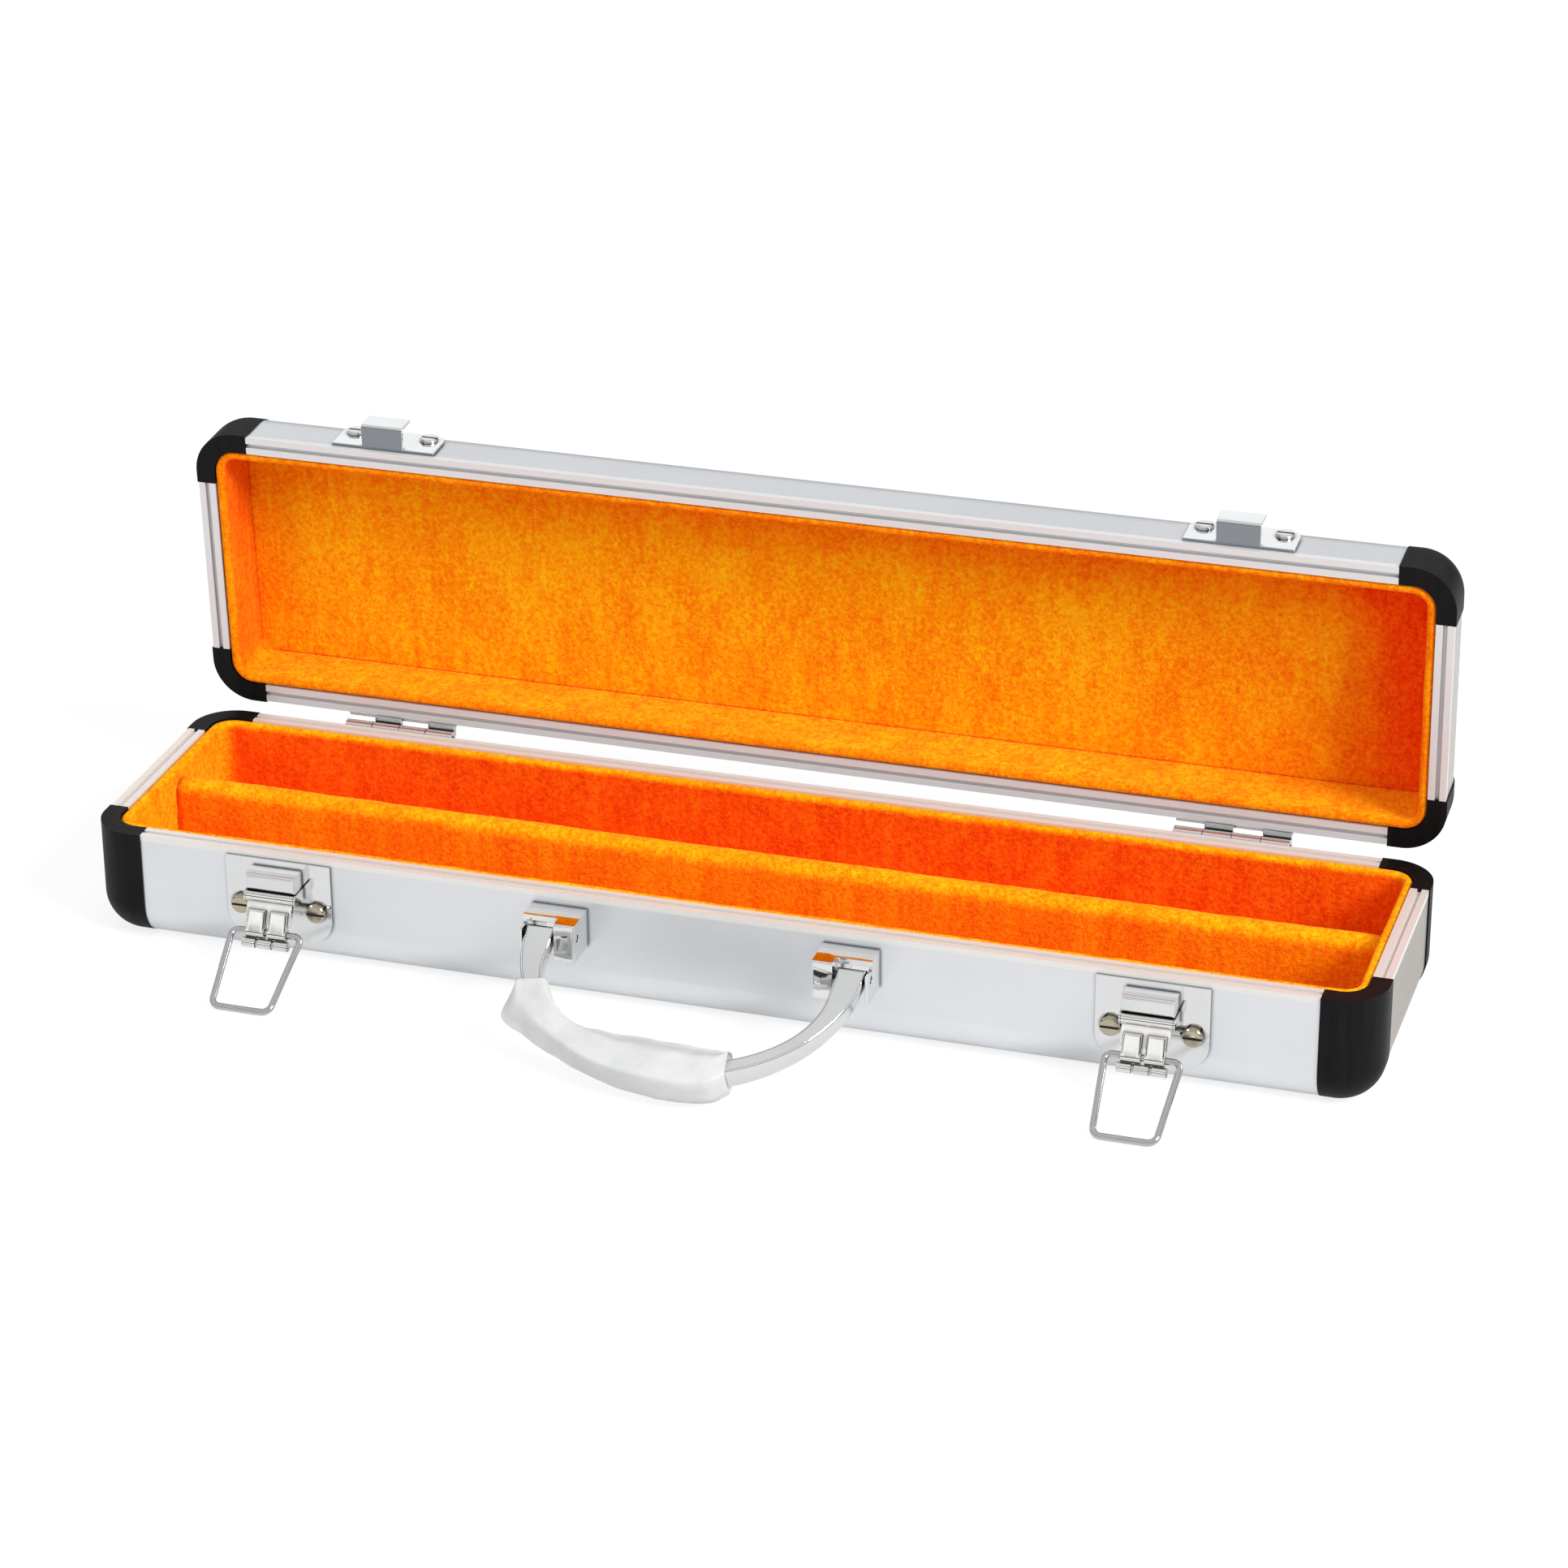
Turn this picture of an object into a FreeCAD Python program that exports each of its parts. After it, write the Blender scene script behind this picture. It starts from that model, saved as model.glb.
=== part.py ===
import FreeCAD, Part
import math
import os
import Sketcher

V = FreeCAD.Vector
doc = FreeCAD.newDocument("FluteCase")

# ---------------------------------------------------------------- driving dimensions (mm, degrees)
sheet = doc.addObject("Spreadsheet::Sheet", "Dims")
DIMS = [
    # overall
    ("case_length", 430.0), ("case_width", 100.0), ("base_height", 39.5), ("lid_height", 26.0), ("part_gap", 0.5),
    # extruded frame
    ("edge_radius", 13.5), ("wall_thickness", 1.2), ("rim_width", 6.0), ("rim_height", 8.0), ("flange_reach", 18.4),
    ("groove_from", 2.2), ("groove_to", 3.7), ("groove_depth", 1.0), ("panel_step", 1.0), ("panel_gap", 0.1),
    # moulded corners
    ("corner_reach", 18.5), ("corner_proud", 0.5), ("corner_radius", 14.6), ("corner_edge_radius", 13.9),
    ("corner_inner_radius", 8.0), ("corner_floor", 4.2),
    # lining
    ("lining_thickness", 3.0), ("lining_drop", 0.3), ("lining_floor", 1.2), ("lining_start", 5.0), ("lining_end", 8.0),
    ("divider_thickness", 10.0), ("divider_shift", 3.5), ("divider_top", 34.0), ("divider_round", 4.2),
    # lid hinge
    ("hinge_x", 146.0), ("hinge_back", 4.0), ("hinge_drop", 2.5), ("open_angle", 86.85), ("knuckle_radius", 2.6),
    ("hinge_pin_radius", 1.0), ("hinge_play", 0.06), ("knuckle_length", 9.75), ("knuckle_clear", 0.12), ("leaf_thickness", 1.0),
    ("leaf_height", 14.0), ("rivet_radius", 1.9), ("rivet_proud", 0.9),
    # draw latch
    ("hardware_shift", -1.6), ("latch_x", 146.0), ("plate_width", 36.5), ("plate_low", 9.5), ("plate_high", 37.5), ("plate_thickness", 1.0),
    ("plate_round", 8.0), ("hood_width", 17.0), ("hood_low", 29.5), ("hood_high", 35.2), ("hood_depth", 7.2),
    ("lever_y", 7.2), ("lever_z", 27.2), ("lever_width", 16.4), ("lever_tilt", 24.0), ("lever_length", 15.6),
    ("lever_sheet", 1.5), ("lever_barrel", 2.0), ("lever_pin_radius", 0.95), ("lever_play", 0.06), ("lug_thickness", 0.65),
    ("lug_gap", 0.12), ("bail_step", 11.6), ("bail_barrel", 2.1), ("bail_play", 0.06), ("wire_radius", 1.1), ("bail_tilt", 58.2), ("bail_length", 29.06),
    ("bail_half_top", 12.1), ("bail_half_low", 10.0), ("bail_bend_top", 2.4), ("bail_bend_low", 3.0), ("rib_width", 6.3), ("rib_offset", 3.8), ("window_top", 8.7), ("window_low", 14.0),
    ("screw_offset", 13.15), ("screw_height", 20.8), ("screw_radius", 3.3), ("screw_proud", 2.3), ("screw_shank", 1.4),
    # lid catch
    ("catch_low", 42.0), ("catch_high", 56.2), ("hook_width", 14.6), ("hook_web", 1.15), ("hook_rise", 7.5), ("hook_top", 50.4),
    ("hook_lip", 1.1), ("catch_screw_height", 51.5), ("catch_screw_radius", 3.0), ("catch_screw_proud", 1.2),
    # carrying handle
    ("bracket_inner", 39.4), ("bracket_outer", 58.0), ("slot_inner", 46.2), ("slot_outer", 56.9), ("bracket_low", 22.0),
    ("bracket_high", 35.2), ("bracket_depth", 13.6), ("bracket_back", 2.0), ("bracket_roof", 1.9), ("bracket_setback", 4.6), ("handle_y", 10.3), ("handle_z", 29.6),
    ("handle_tilt", 60.5), ("handle_pin_radius", 1.3), ("handle_play", 0.06), ("strap_outer_a", 56.4), ("strap_outer_b", 49.0),
    ("strap_inner_a", 46.8), ("strap_inner_b", 33.5), ("strap_inner_start", 10.0), ("strap_back", 2.6), ("strap_front", 7.3), ("strap_edge", 1.3),
    ("film_right", 23.5), ("film_outer_grow", 5.0), ("film_inner_grow", 7.0), ("film_wall", 0.6), ("film_start", 19.5),
]


class Q:
    """A dimension: its value, and the sheet expression that it comes from."""

    def __init__(self, value, text):
        self.v, self.t = value, text

    def _two(self, other, sign, swap=False):
        o = other if isinstance(other, Q) else Q(float(other), repr(float(other)))
        a, b = (o, self) if swap else (self, o)
        v = {"+": a.v + b.v, "-": a.v - b.v, "*": a.v * b.v}.get(sign)
        if v is None:
            v = a.v / b.v
        return Q(v, "(" + a.t + " " + sign + " " + b.t + ")")

    def __add__(self, o): return self._two(o, "+")
    def __radd__(self, o): return self._two(o, "+", True)
    def __sub__(self, o): return self._two(o, "-")
    def __rsub__(self, o): return self._two(o, "-", True)
    def __mul__(self, o): return self._two(o, "*")
    def __rmul__(self, o): return self._two(o, "*", True)
    def __truediv__(self, o): return self._two(o, "/")
    def __neg__(self): return self._two(-1.0, "*")


D = {}
for row, (alias, value) in enumerate(DIMS, 1):
    sheet.set("A%d" % row, alias)
    sheet.set("B%d" % row, repr(value))
    sheet.setAlias("B%d" % row, alias)
    D[alias] = Q(value, "Dims." + alias)
doc.recompute()
for alias, value in DIMS:
    D[alias].v = float(sheet.get(alias))


def q(x):
    return x if isinstance(x, Q) else Q(float(x), repr(float(x)))


def bind(obj, prop, x):
    x = q(x)
    obj.setExpression(prop, x.t)
    return x.v


parts = []


def keep(obj, label):
    obj.Label = label
    parts.append((label, obj))
    return obj


def drill(label, tools, place=None):
    """Bores a kept part for the fasteners that pass through it. place is where the tools' own frame lies."""
    for i, (name, old) in enumerate(parts):
        if name == label:
            t = doc.addObject("Part::Compound", label + "_bores")
            t.Links = tools
            if place is not None:
                t.Placement = place
            old.Label = label + "_blank"
            c = doc.addObject("Part::Cut", label + "_drilled")
            c.Base = old
            c.Tool = t
            c.Label = label
            parts[i] = (label, c)
            return c
    raise RuntimeError("no part " + label)


IDENT = FreeCAD.Placement()
L, W = D["case_length"], D["case_width"]
HB, HL = D["base_height"], D["lid_height"]
lid_top = HB + D["part_gap"] + HL

# hinge axis of the lid, and the turn that carries the closed lid to its open rest
hinge_at = V(0, W.v / 2 + D["hinge_back"].v, HB.v - D["hinge_drop"].v)
OPEN = FreeCAD.Placement(V(0, 0, 0), FreeCAD.Rotation(V(1, 0, 0), -D["open_angle"].v), hinge_at)
# the lid's shell is the base's shell turned over
FLIP = FreeCAD.Placement(V(0, 0, lid_top.v), FreeCAD.Rotation(V(1, 0, 0), 180))


# ---------------------------------------------------------------- helpers for sketch-based bodies
def plane(body, role):
    return [o for o in body.Origin.OriginFeatures if o.Role == role][0]


def sketch(body, name, role, offset=None):
    s = body.newObject("Sketcher::SketchObject", name)
    s.AttachmentSupport = [(plane(body, role), "")]
    s.MapMode = "FlatFace"
    if offset is not None:
        s.AttachmentOffset = FreeCAD.Placement(V(0, 0, offset.v), FreeCAD.Rotation())
        s.setExpression("AttachmentOffset.Base.z", offset.t)
    return s


def polygon(s, pts):
    pts = [(q(a), q(b)) for a, b in pts]
    n = len(pts)
    for i in range(n):
        a, b = pts[i], pts[(i + 1) % n]
        s.addGeometry(Part.LineSegment(V(a[0].v, a[1].v, 0), V(b[0].v, b[1].v, 0)), False)
    for i in range(n):
        s.addConstraint(Sketcher.Constraint("Coincident", i, 2, (i + 1) % n, 1))
    for i, (a, b) in enumerate(pts):
        for kind, x in (("DistanceX", a), ("DistanceY", b)):
            c = s.addConstraint(Sketcher.Constraint(kind, -1, 1, i, 1, x.v))
            s.setExpression("Constraints[%d]" % c, x.t)
    return s


def circle(s, x, y, r):
    x, y, r = q(x), q(y), q(r)
    g = s.addGeometry(Part.Circle(V(x.v, y.v, 0), V(0, 0, 1), r.v), False)
    for kind, val in (("DistanceX", x), ("DistanceY", y)):
        c = s.addConstraint(Sketcher.Constraint(kind, -1, 1, g, 3, val.v))
        s.setExpression("Constraints[%d]" % c, val.t)
    c = s.addConstraint(Sketcher.Constraint("Radius", g, r.v))
    s.setExpression("Constraints[%d]" % c, r.t)


def pad(body, s, name, length):
    p = body.newObject("PartDesign::Pad", name)
    p.Profile = s
    p.Length = q(length).v
    p.setExpression("Length", q(length).t)
    s.Visibility = False
    return p


def pocket(body, s, name, length, reverse=False):
    p = body.newObject("PartDesign::Pocket", name)
    p.Profile = s
    p.Length = q(length).v
    p.setExpression("Length", q(length).t)
    p.Reversed = reverse
    return p


def round_edges(body, base, name, radius, wanted):
    doc.recompute()
    found = []
    for i, e in enumerate(base.Shape.Edges, 1):
        if wanted(e):
            found.append("Edge%d" % i)
    if not found:
        raise RuntimeError("no edge for " + name)
    f = body.newObject("PartDesign::Fillet", name)
    f.Base = (base, found)
    f.Radius = q(radius).v
    f.setExpression("Radius", q(radius).t)
    body.Tip = f
    return f


def along(axis, u, v):
    """Chooses an edge parallel to an axis (0, 1, 2) through (u, v) in the two other coordinates."""
    others = [k for k in range(3) if k != axis]

    def test(e):
        if len(e.Vertexes) != 2:
            return False
        a, b = e.Vertexes[0].Point, e.Vertexes[1].Point
        return all(abs(p[others[0]] - u) < 1e-4 and abs(p[others[1]] - v) < 1e-4 for p in (a, b))

    return test


def prism(label, role, pts, length, start=None, placement=IDENT, rounds=()):
    """A sketched profile padded along its plane's normal. rounds are (radius, edge test)."""
    body = doc.addObject("PartDesign::Body", label + "_body")
    s = polygon(sketch(body, label + "_profile", role, start), pts)
    last = pad(body, s, label + "_pad", length)
    for k, (radius, wanted) in enumerate(rounds):
        last = round_edges(body, last, "%s_round%d" % (label, k), radius, wanted)
    body.Placement = placement
    return keep(body, label)


# ---------------------------------------------------------------- helpers for primitives
def box(name, x0, y0, z0, dx, dy, dz):
    b = doc.addObject("Part::Box", name)
    b.Length, b.Width, b.Height = q(dx).v, q(dy).v, q(dz).v
    for prop, x in (("Length", dx), ("Width", dy), ("Height", dz)):
        b.setExpression(prop, q(x).t)
    b.Placement = FreeCAD.Placement(V(q(x0).v, q(y0).v, q(z0).v), FreeCAD.Rotation())
    for prop, x in (("Placement.Base.x", x0), ("Placement.Base.y", y0), ("Placement.Base.z", z0)):
        b.setExpression(prop, q(x).t)
    return b


def rod(name, x0, y0, z0, r, length, direction=V(1, 0, 0)):
    c = doc.addObject("Part::Cylinder", name)
    c.Radius, c.Height = q(r).v, q(length).v
    c.setExpression("Radius", q(r).t)
    c.setExpression("Height", q(length).t)
    c.Placement = FreeCAD.Placement(V(q(x0).v, q(y0).v, q(z0).v), FreeCAD.Rotation(V(0, 0, 1), direction))
    for prop, x in (("Placement.Base.x", x0), ("Placement.Base.y", y0), ("Placement.Base.z", z0)):
        c.setExpression(prop, q(x).t)
    return c


def fuse(name, shapes):
    if len(shapes) == 1:
        return shapes[0]
    f = doc.addObject("Part::MultiFuse", name)
    f.Shapes = shapes
    f.Refine = True
    return f


def cut(name, base, tools):
    c = doc.addObject("Part::Cut", name)
    c.Base = base
    c.Tool = fuse(name + "_tools", tools)
    return c


def group(name, shapes):
    g = doc.addObject("Part::Compound", name)
    g.Links = shapes
    return g


def fillet(name, base, radius, wanted):
    doc.recompute()
    f = doc.addObject("Part::Fillet", name)
    f.Base = base
    f.Edges = [(i, q(radius).v, q(radius).v) for i, e in enumerate(base.Shape.Edges, 1) if wanted(e)]
    return f


# ================================================================ shells
w, r_out = D["wall_thickness"], D["edge_radius"]
rim, rim_h, reach = D["rim_width"], D["rim_height"], D["flange_reach"]
g1, g2, gd = D["groove_from"], D["groove_to"], D["groove_depth"]


def frame_profile(half, height, side):
    """Outline of the extruded frame, across one wall. half is the wall's distance from the middle, side is -1 or 1."""
    def u(d):
        return (half - d) * side
    return [
        (u(0.0), height), (u(0.0), 0.0), (u(reach), 0.0), (u(reach), w), (u(w), w), (u(w), height - rim_h), (u(rim), height - rim_h),
        (u(rim), height), (u(g2), height), (u(g2), height - gd), (u(g1), height - gd), (u(g1), height),
    ]


def frame(label, role, half, height, side, length, place):
    pts = frame_profile(half, height, side)
    axis = 0 if role == "YZ_Plane" else 1
    outer = side * half.v
    inner = side * (half.v - w.v)
    return prism(label, role, pts, length, -length / 2.0, place,
                 [(r_out, along(axis, outer, 0.0)), (r_out - w, along(axis, inner, w.v))])


def corner(label, sx, sy, height, place):
    """A moulded corner, from the rim down round the edge and under the panel."""
    body = doc.addObject("PartDesign::Body", label + "_body")
    pr, reach_c = D["corner_proud"], D["corner_reach"]
    xo, yo = (L / 2.0 + pr) * sx, (W / 2.0 + pr) * sy
    xi, yi = (L / 2.0 - reach_c) * sx, (W / 2.0 - reach_c) * sy
    s = polygon(sketch(body, label + "_outline", "XY_Plane"), [(xo, yo), (xi, yo), (xi, yi), (xo, yi)])
    last = pad(body, s, label + "_pad", height)
    last = round_edges(body, last, label + "_vertical", D["corner_radius"], along(2, xo.v, yo.v))

    def bottom(e):
        box_ = e.BoundBox
        if abs(box_.ZMin) > 1e-4 or abs(box_.ZMax) > 1e-4:
            return False
        inside_x = abs(box_.XMin - xi.v) < 1e-3 and abs(box_.XMax - xi.v) < 1e-3
        inside_y = abs(box_.YMin - yi.v) < 1e-3 and abs(box_.YMax - yi.v) < 1e-3
        return not inside_x and not inside_y

    last = round_edges(body, last, label + "_edge", D["corner_edge_radius"], bottom)
    ri = D["corner_inner_radius"]
    ax, ay = (L / 2.0 - rim) * sx, (W / 2.0 - rim) * sy
    cx, cy = (L / 2.0 - rim - ri) * sx, (W / 2.0 - rim - ri) * sy
    bx, by = (L / 2.0 - reach_c - 2.0) * sx, (W / 2.0 - reach_c - 2.0) * sy
    s2 = sketch(body, label + "_inside", "XY_Plane", height)
    pts = [(cx, ay), (bx, ay), (bx, by), (ax, by), (ax, cy)]
    for i in range(4):
        a, b = pts[i], pts[i + 1]
        s2.addGeometry(Part.LineSegment(V(a[0].v, a[1].v, 0), V(b[0].v, b[1].v, 0)), False)
    first_is_start = sx * sy > 0
    turn = math.atan2(0.0, sx) if first_is_start else math.atan2(sy, 0.0)
    s2.addGeometry(Part.ArcOfCircle(Part.Circle(V(cx.v, cy.v, 0), V(0, 0, 1), ri.v), turn, turn + math.pi / 2.0), False)
    for i in range(3):
        s2.addConstraint(Sketcher.Constraint("Coincident", i, 2, i + 1, 1))
    s2.addConstraint(Sketcher.Constraint("Coincident", 3, 2, 4, 1 if first_is_start else 2))
    s2.addConstraint(Sketcher.Constraint("Coincident", 0, 1, 4, 2 if first_is_start else 1))
    for i in range(4):
        for kind, x in (("DistanceX", pts[i][0]), ("DistanceY", pts[i][1])):
            c = s2.addConstraint(Sketcher.Constraint(kind, -1, 1, i, 1, x.v))
            s2.setExpression("Constraints[%d]" % c, x.t)
    for kind, x in (("DistanceX", ax), ("DistanceY", cy)):
        c = s2.addConstraint(Sketcher.Constraint(kind, -1, 1, 3, 2, x.v))
        s2.setExpression("Constraints[%d]" % c, x.t)
    c = s2.addConstraint(Sketcher.Constraint("Radius", 4, ri.v))
    s2.setExpression("Constraints[%d]" % c, ri.t)
    last = pocket(body, s2, label + "_pocket", height - D["corner_floor"])
    body.Tip = last
    body.Placement = place
    return keep(body, label)


def stepped_panel(label, place):
    """The flat board: it lies on the frame's flanges and fills the opening between them, flush outside."""
    gap = D["panel_gap"]
    body = doc.addObject("PartDesign::Body", label + "_body")
    x1, y1 = L / 2.0 - reach - gap, W / 2.0 - reach - gap
    s = polygon(sketch(body, label + "_face", "XY_Plane"), [(-x1, -y1), (x1, -y1), (x1, y1), (-x1, y1)])
    pad(body, s, label + "_pad", w)
    x2, y2 = L / 2.0 - D["corner_reach"] - gap, W / 2.0 - r_out
    s2 = polygon(sketch(body, label + "_board", "XY_Plane", w), [(-x2, -y2), (x2, -y2), (x2, y2), (-x2, y2)])
    last = pad(body, s2, label + "_step", D["panel_step"])
    body.Tip = last
    body.Placement = place
    return keep(body, label)


def shell(prefix, height, place, turned, panel_name, floor_name):
    front, rear = ("rear", "front") if turned else ("front", "rear")
    run_x = L - D["corner_reach"] * 2.0
    run_y = W - D["corner_reach"] * 2.0
    frame(prefix + "_frame_" + front, "YZ_Plane", W / 2.0, height, -1.0, run_x, place)
    frame(prefix + "_frame_" + rear, "YZ_Plane", W / 2.0, height, 1.0, run_x, place)
    # the end frames: the sketch plane's normal is -Y, so the length runs towards -Y
    frame(prefix + "_frame_left", "XZ_Plane", L / 2.0, height, -1.0, run_y, place)
    frame(prefix + "_frame_right", "XZ_Plane", L / 2.0, height, 1.0, run_y, place)
    for fy, sy in ((front, -1.0), (rear, 1.0)):
        for fx, sx in (("left", -1.0), ("right", 1.0)):
            corner("%s_corner_%s_%s" % (prefix, fy, fx), sx, sy, height, place)
    stepped_panel(panel_name, place)
    # lining boards, plush side inwards, each behind the rim and down to the panel
    t, drop, low = D["lining_thickness"], D["lining_drop"], D["lining_start"]
    def profile(half, side):
        def u(d):
            return (half - d) * side
        return [(u(rim + t), low), (u(rim + t), height - drop), (u(rim), height - drop), (u(rim), low)]
    run = L - (rim + D["lining_end"]) * 2.0
    prism(prefix + "_lining_" + front, "YZ_Plane", profile(W / 2.0, -1.0), run, -run / 2.0, place)
    prism(prefix + "_lining_" + rear, "YZ_Plane", profile(W / 2.0, 1.0), run, -run / 2.0, place)
    run = W - (rim + D["lining_end"]) * 2.0
    prism(prefix + "_lining_left", "XZ_Plane", profile(L / 2.0, -1.0), run, -run / 2.0, place)
    prism(prefix + "_lining_right", "XZ_Plane", profile(L / 2.0, 1.0), run, -run / 2.0, place)
    x3, y3 = L / 2.0 - D["corner_reach"] - 0.2, W / 2.0 - rim - t - 0.1
    zf = w + D["panel_step"]
    prism(floor_name, "XY_Plane", [(-x3, -y3), (x3, -y3), (x3, y3), (-x3, y3)], D["lining_floor"], zf, place)


shell("base", HB, IDENT, False, "base_bottom_panel", "base_lining_floor")
shell("lid", HL, OPEN.multiply(FLIP), True, "lid_top_panel", "lid_lining_panel")

# padded divider between the two long compartments
yd, td = D["divider_shift"], D["divider_thickness"]
dz0 = w + D["panel_step"] + D["lining_floor"]
dx = L - (rim + D["lining_thickness"]) * 2.0 - 0.2
prism("base_divider", "YZ_Plane",
      [(yd - td / 2.0, dz0), (yd + td / 2.0, dz0), (yd + td / 2.0, D["divider_top"]), (yd - td / 2.0, D["divider_top"])],
      dx, -dx / 2.0, IDENT,
      [(D["divider_round"], lambda e: along(0, (yd - td / 2.0).v, D["divider_top"].v)(e) or along(0, (yd + td / 2.0).v, D["divider_top"].v)(e))])

# ================================================================ lid hinges
hy, hz = W / 2.0 + D["hinge_back"], HB - D["hinge_drop"]
kr, kl, kc, lt = D["knuckle_radius"], D["knuckle_length"], D["knuckle_clear"], D["leaf_thickness"]
base_rivets, lid_rivets, base_shanks, lid_shanks = [], [], [], []
for side, sx in (("left", -1.0), ("right", 1.0)):
    x0 = D["hinge_x"] * sx - kl * 2.0
    for which in ("base", "lid"):
        n = "hinge_%s_leaf_%s" % (which, side)
        segs = (0, 2) if which == "base" else (1, 3)
        solids, holes = [], []
        if which == "base":
            solids.append(box(n + "_plate", x0, W / 2.0, hz - D["leaf_height"], kl * 4.0, lt, D["leaf_height"]))
        else:
            solids.append(box(n + "_plate", x0, W / 2.0, HB + D["part_gap"], kl * 4.0, lt, D["leaf_height"]))
        for k in segs:
            xs = x0 + kl * float(k) + kc
            solids.append(rod(n + "_knuckle%d" % k, xs, hy, hz, kr, kl - kc * 2.0))
            if which == "base":
                solids.append(box(n + "_web%d" % k, xs, W / 2.0, hz - kr, kl - kc * 2.0, D["hinge_back"], lt))
            else:
                solids.append(box(n + "_web%d" % k, xs, W / 2.0, hz + kr - lt, kl - kc * 2.0, D["hinge_back"], lt + HB + D["part_gap"] - hz - kr + 0.4))
        bore = D["hinge_pin_radius"] if which == "base" else D["hinge_pin_radius"] + D["hinge_play"]
        holes.append(rod(n + "_bore", x0 - 1.0, hy, hz, bore, kl * 4.0 + 2.0))
        for k, xr in enumerate((-11.0, 11.0)):
            zr = hz - 8.0 if which == "base" else HB + D["part_gap"] + 8.5
            head = rod("%s_rivet%d_head" % (n, k), D["hinge_x"] * sx + xr, W / 2.0 + lt, zr, D["rivet_radius"], D["rivet_proud"], V(0, 1, 0))
            shank = rod("%s_rivet%d_shank" % (n, k), D["hinge_x"] * sx + xr, W / 2.0 - w - 0.2, zr, D["rivet_radius"] / 2.0, w + lt + 0.3, V(0, 1, 0))
            (base_rivets if which == "base" else lid_rivets).append(fuse("%s_rivet%d" % (n, k), [head, shank]))
            (base_shanks if which == "base" else lid_shanks).append(shank)
            holes.append(shank)
        c = cut(n + "_cut", fuse(n + "_all", solids), holes)
        if which == "lid":
            c.Placement = OPEN
        keep(c, n)
    keep(rod("hinge_pin_%s_rod" % side, x0 - 0.4, hy, hz, D["hinge_pin_radius"], kl * 4.0 + 0.8), "hinge_pin_" + side)
keep(group("hinge_base_rivets_set", base_rivets), "hinge_base_rivets")
g = group("hinge_lid_rivets_set", lid_rivets)
g.Placement = OPEN
keep(g, "hinge_lid_rivets")
drill("base_frame_rear", base_shanks)
drill("lid_frame_rear", lid_shanks, OPEN)

# ================================================================ draw latches on the base's front
pt = D["plate_thickness"]
front_y = -W / 2.0
ay, az = front_y - D["lever_y"], D["lever_z"]
lw = D["lever_width"]
tilt = math.radians(D["lever_tilt"].v)
latch_screws, front_shanks = [], []


def screw(name, x, y, z, out, radius, proud, edge):
    """A slotted pan-head screw: out is the way the head faces along Y."""
    head = rod(name + "_head", x, y, z, radius, proud, V(0, out, 0))
    dome = fillet(name + "_dome", head, edge, lambda e: abs(e.BoundBox.YMin - (q(y).v + out * proud.v)) < 1e-4
                  and abs(e.BoundBox.YMax - (q(y).v + out * proud.v)) < 1e-4 and len(e.Vertexes) == 1)
    shank = rod(name + "_shank", x, y, z, D["screw_shank"], pt + w + 1.5, V(0, -out, 0))
    y_slot = q(y) + out * proud - (0.7 if out > 0 else 0.0)
    slot = box(name + "_slot", q(x) - radius - 0.5, y_slot, q(z) - 0.45, radius * 2.0 + 1.0, 0.7, 0.9)
    return cut(name, fuse(name + "_all", [dome, shank]), [slot]), shank


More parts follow.
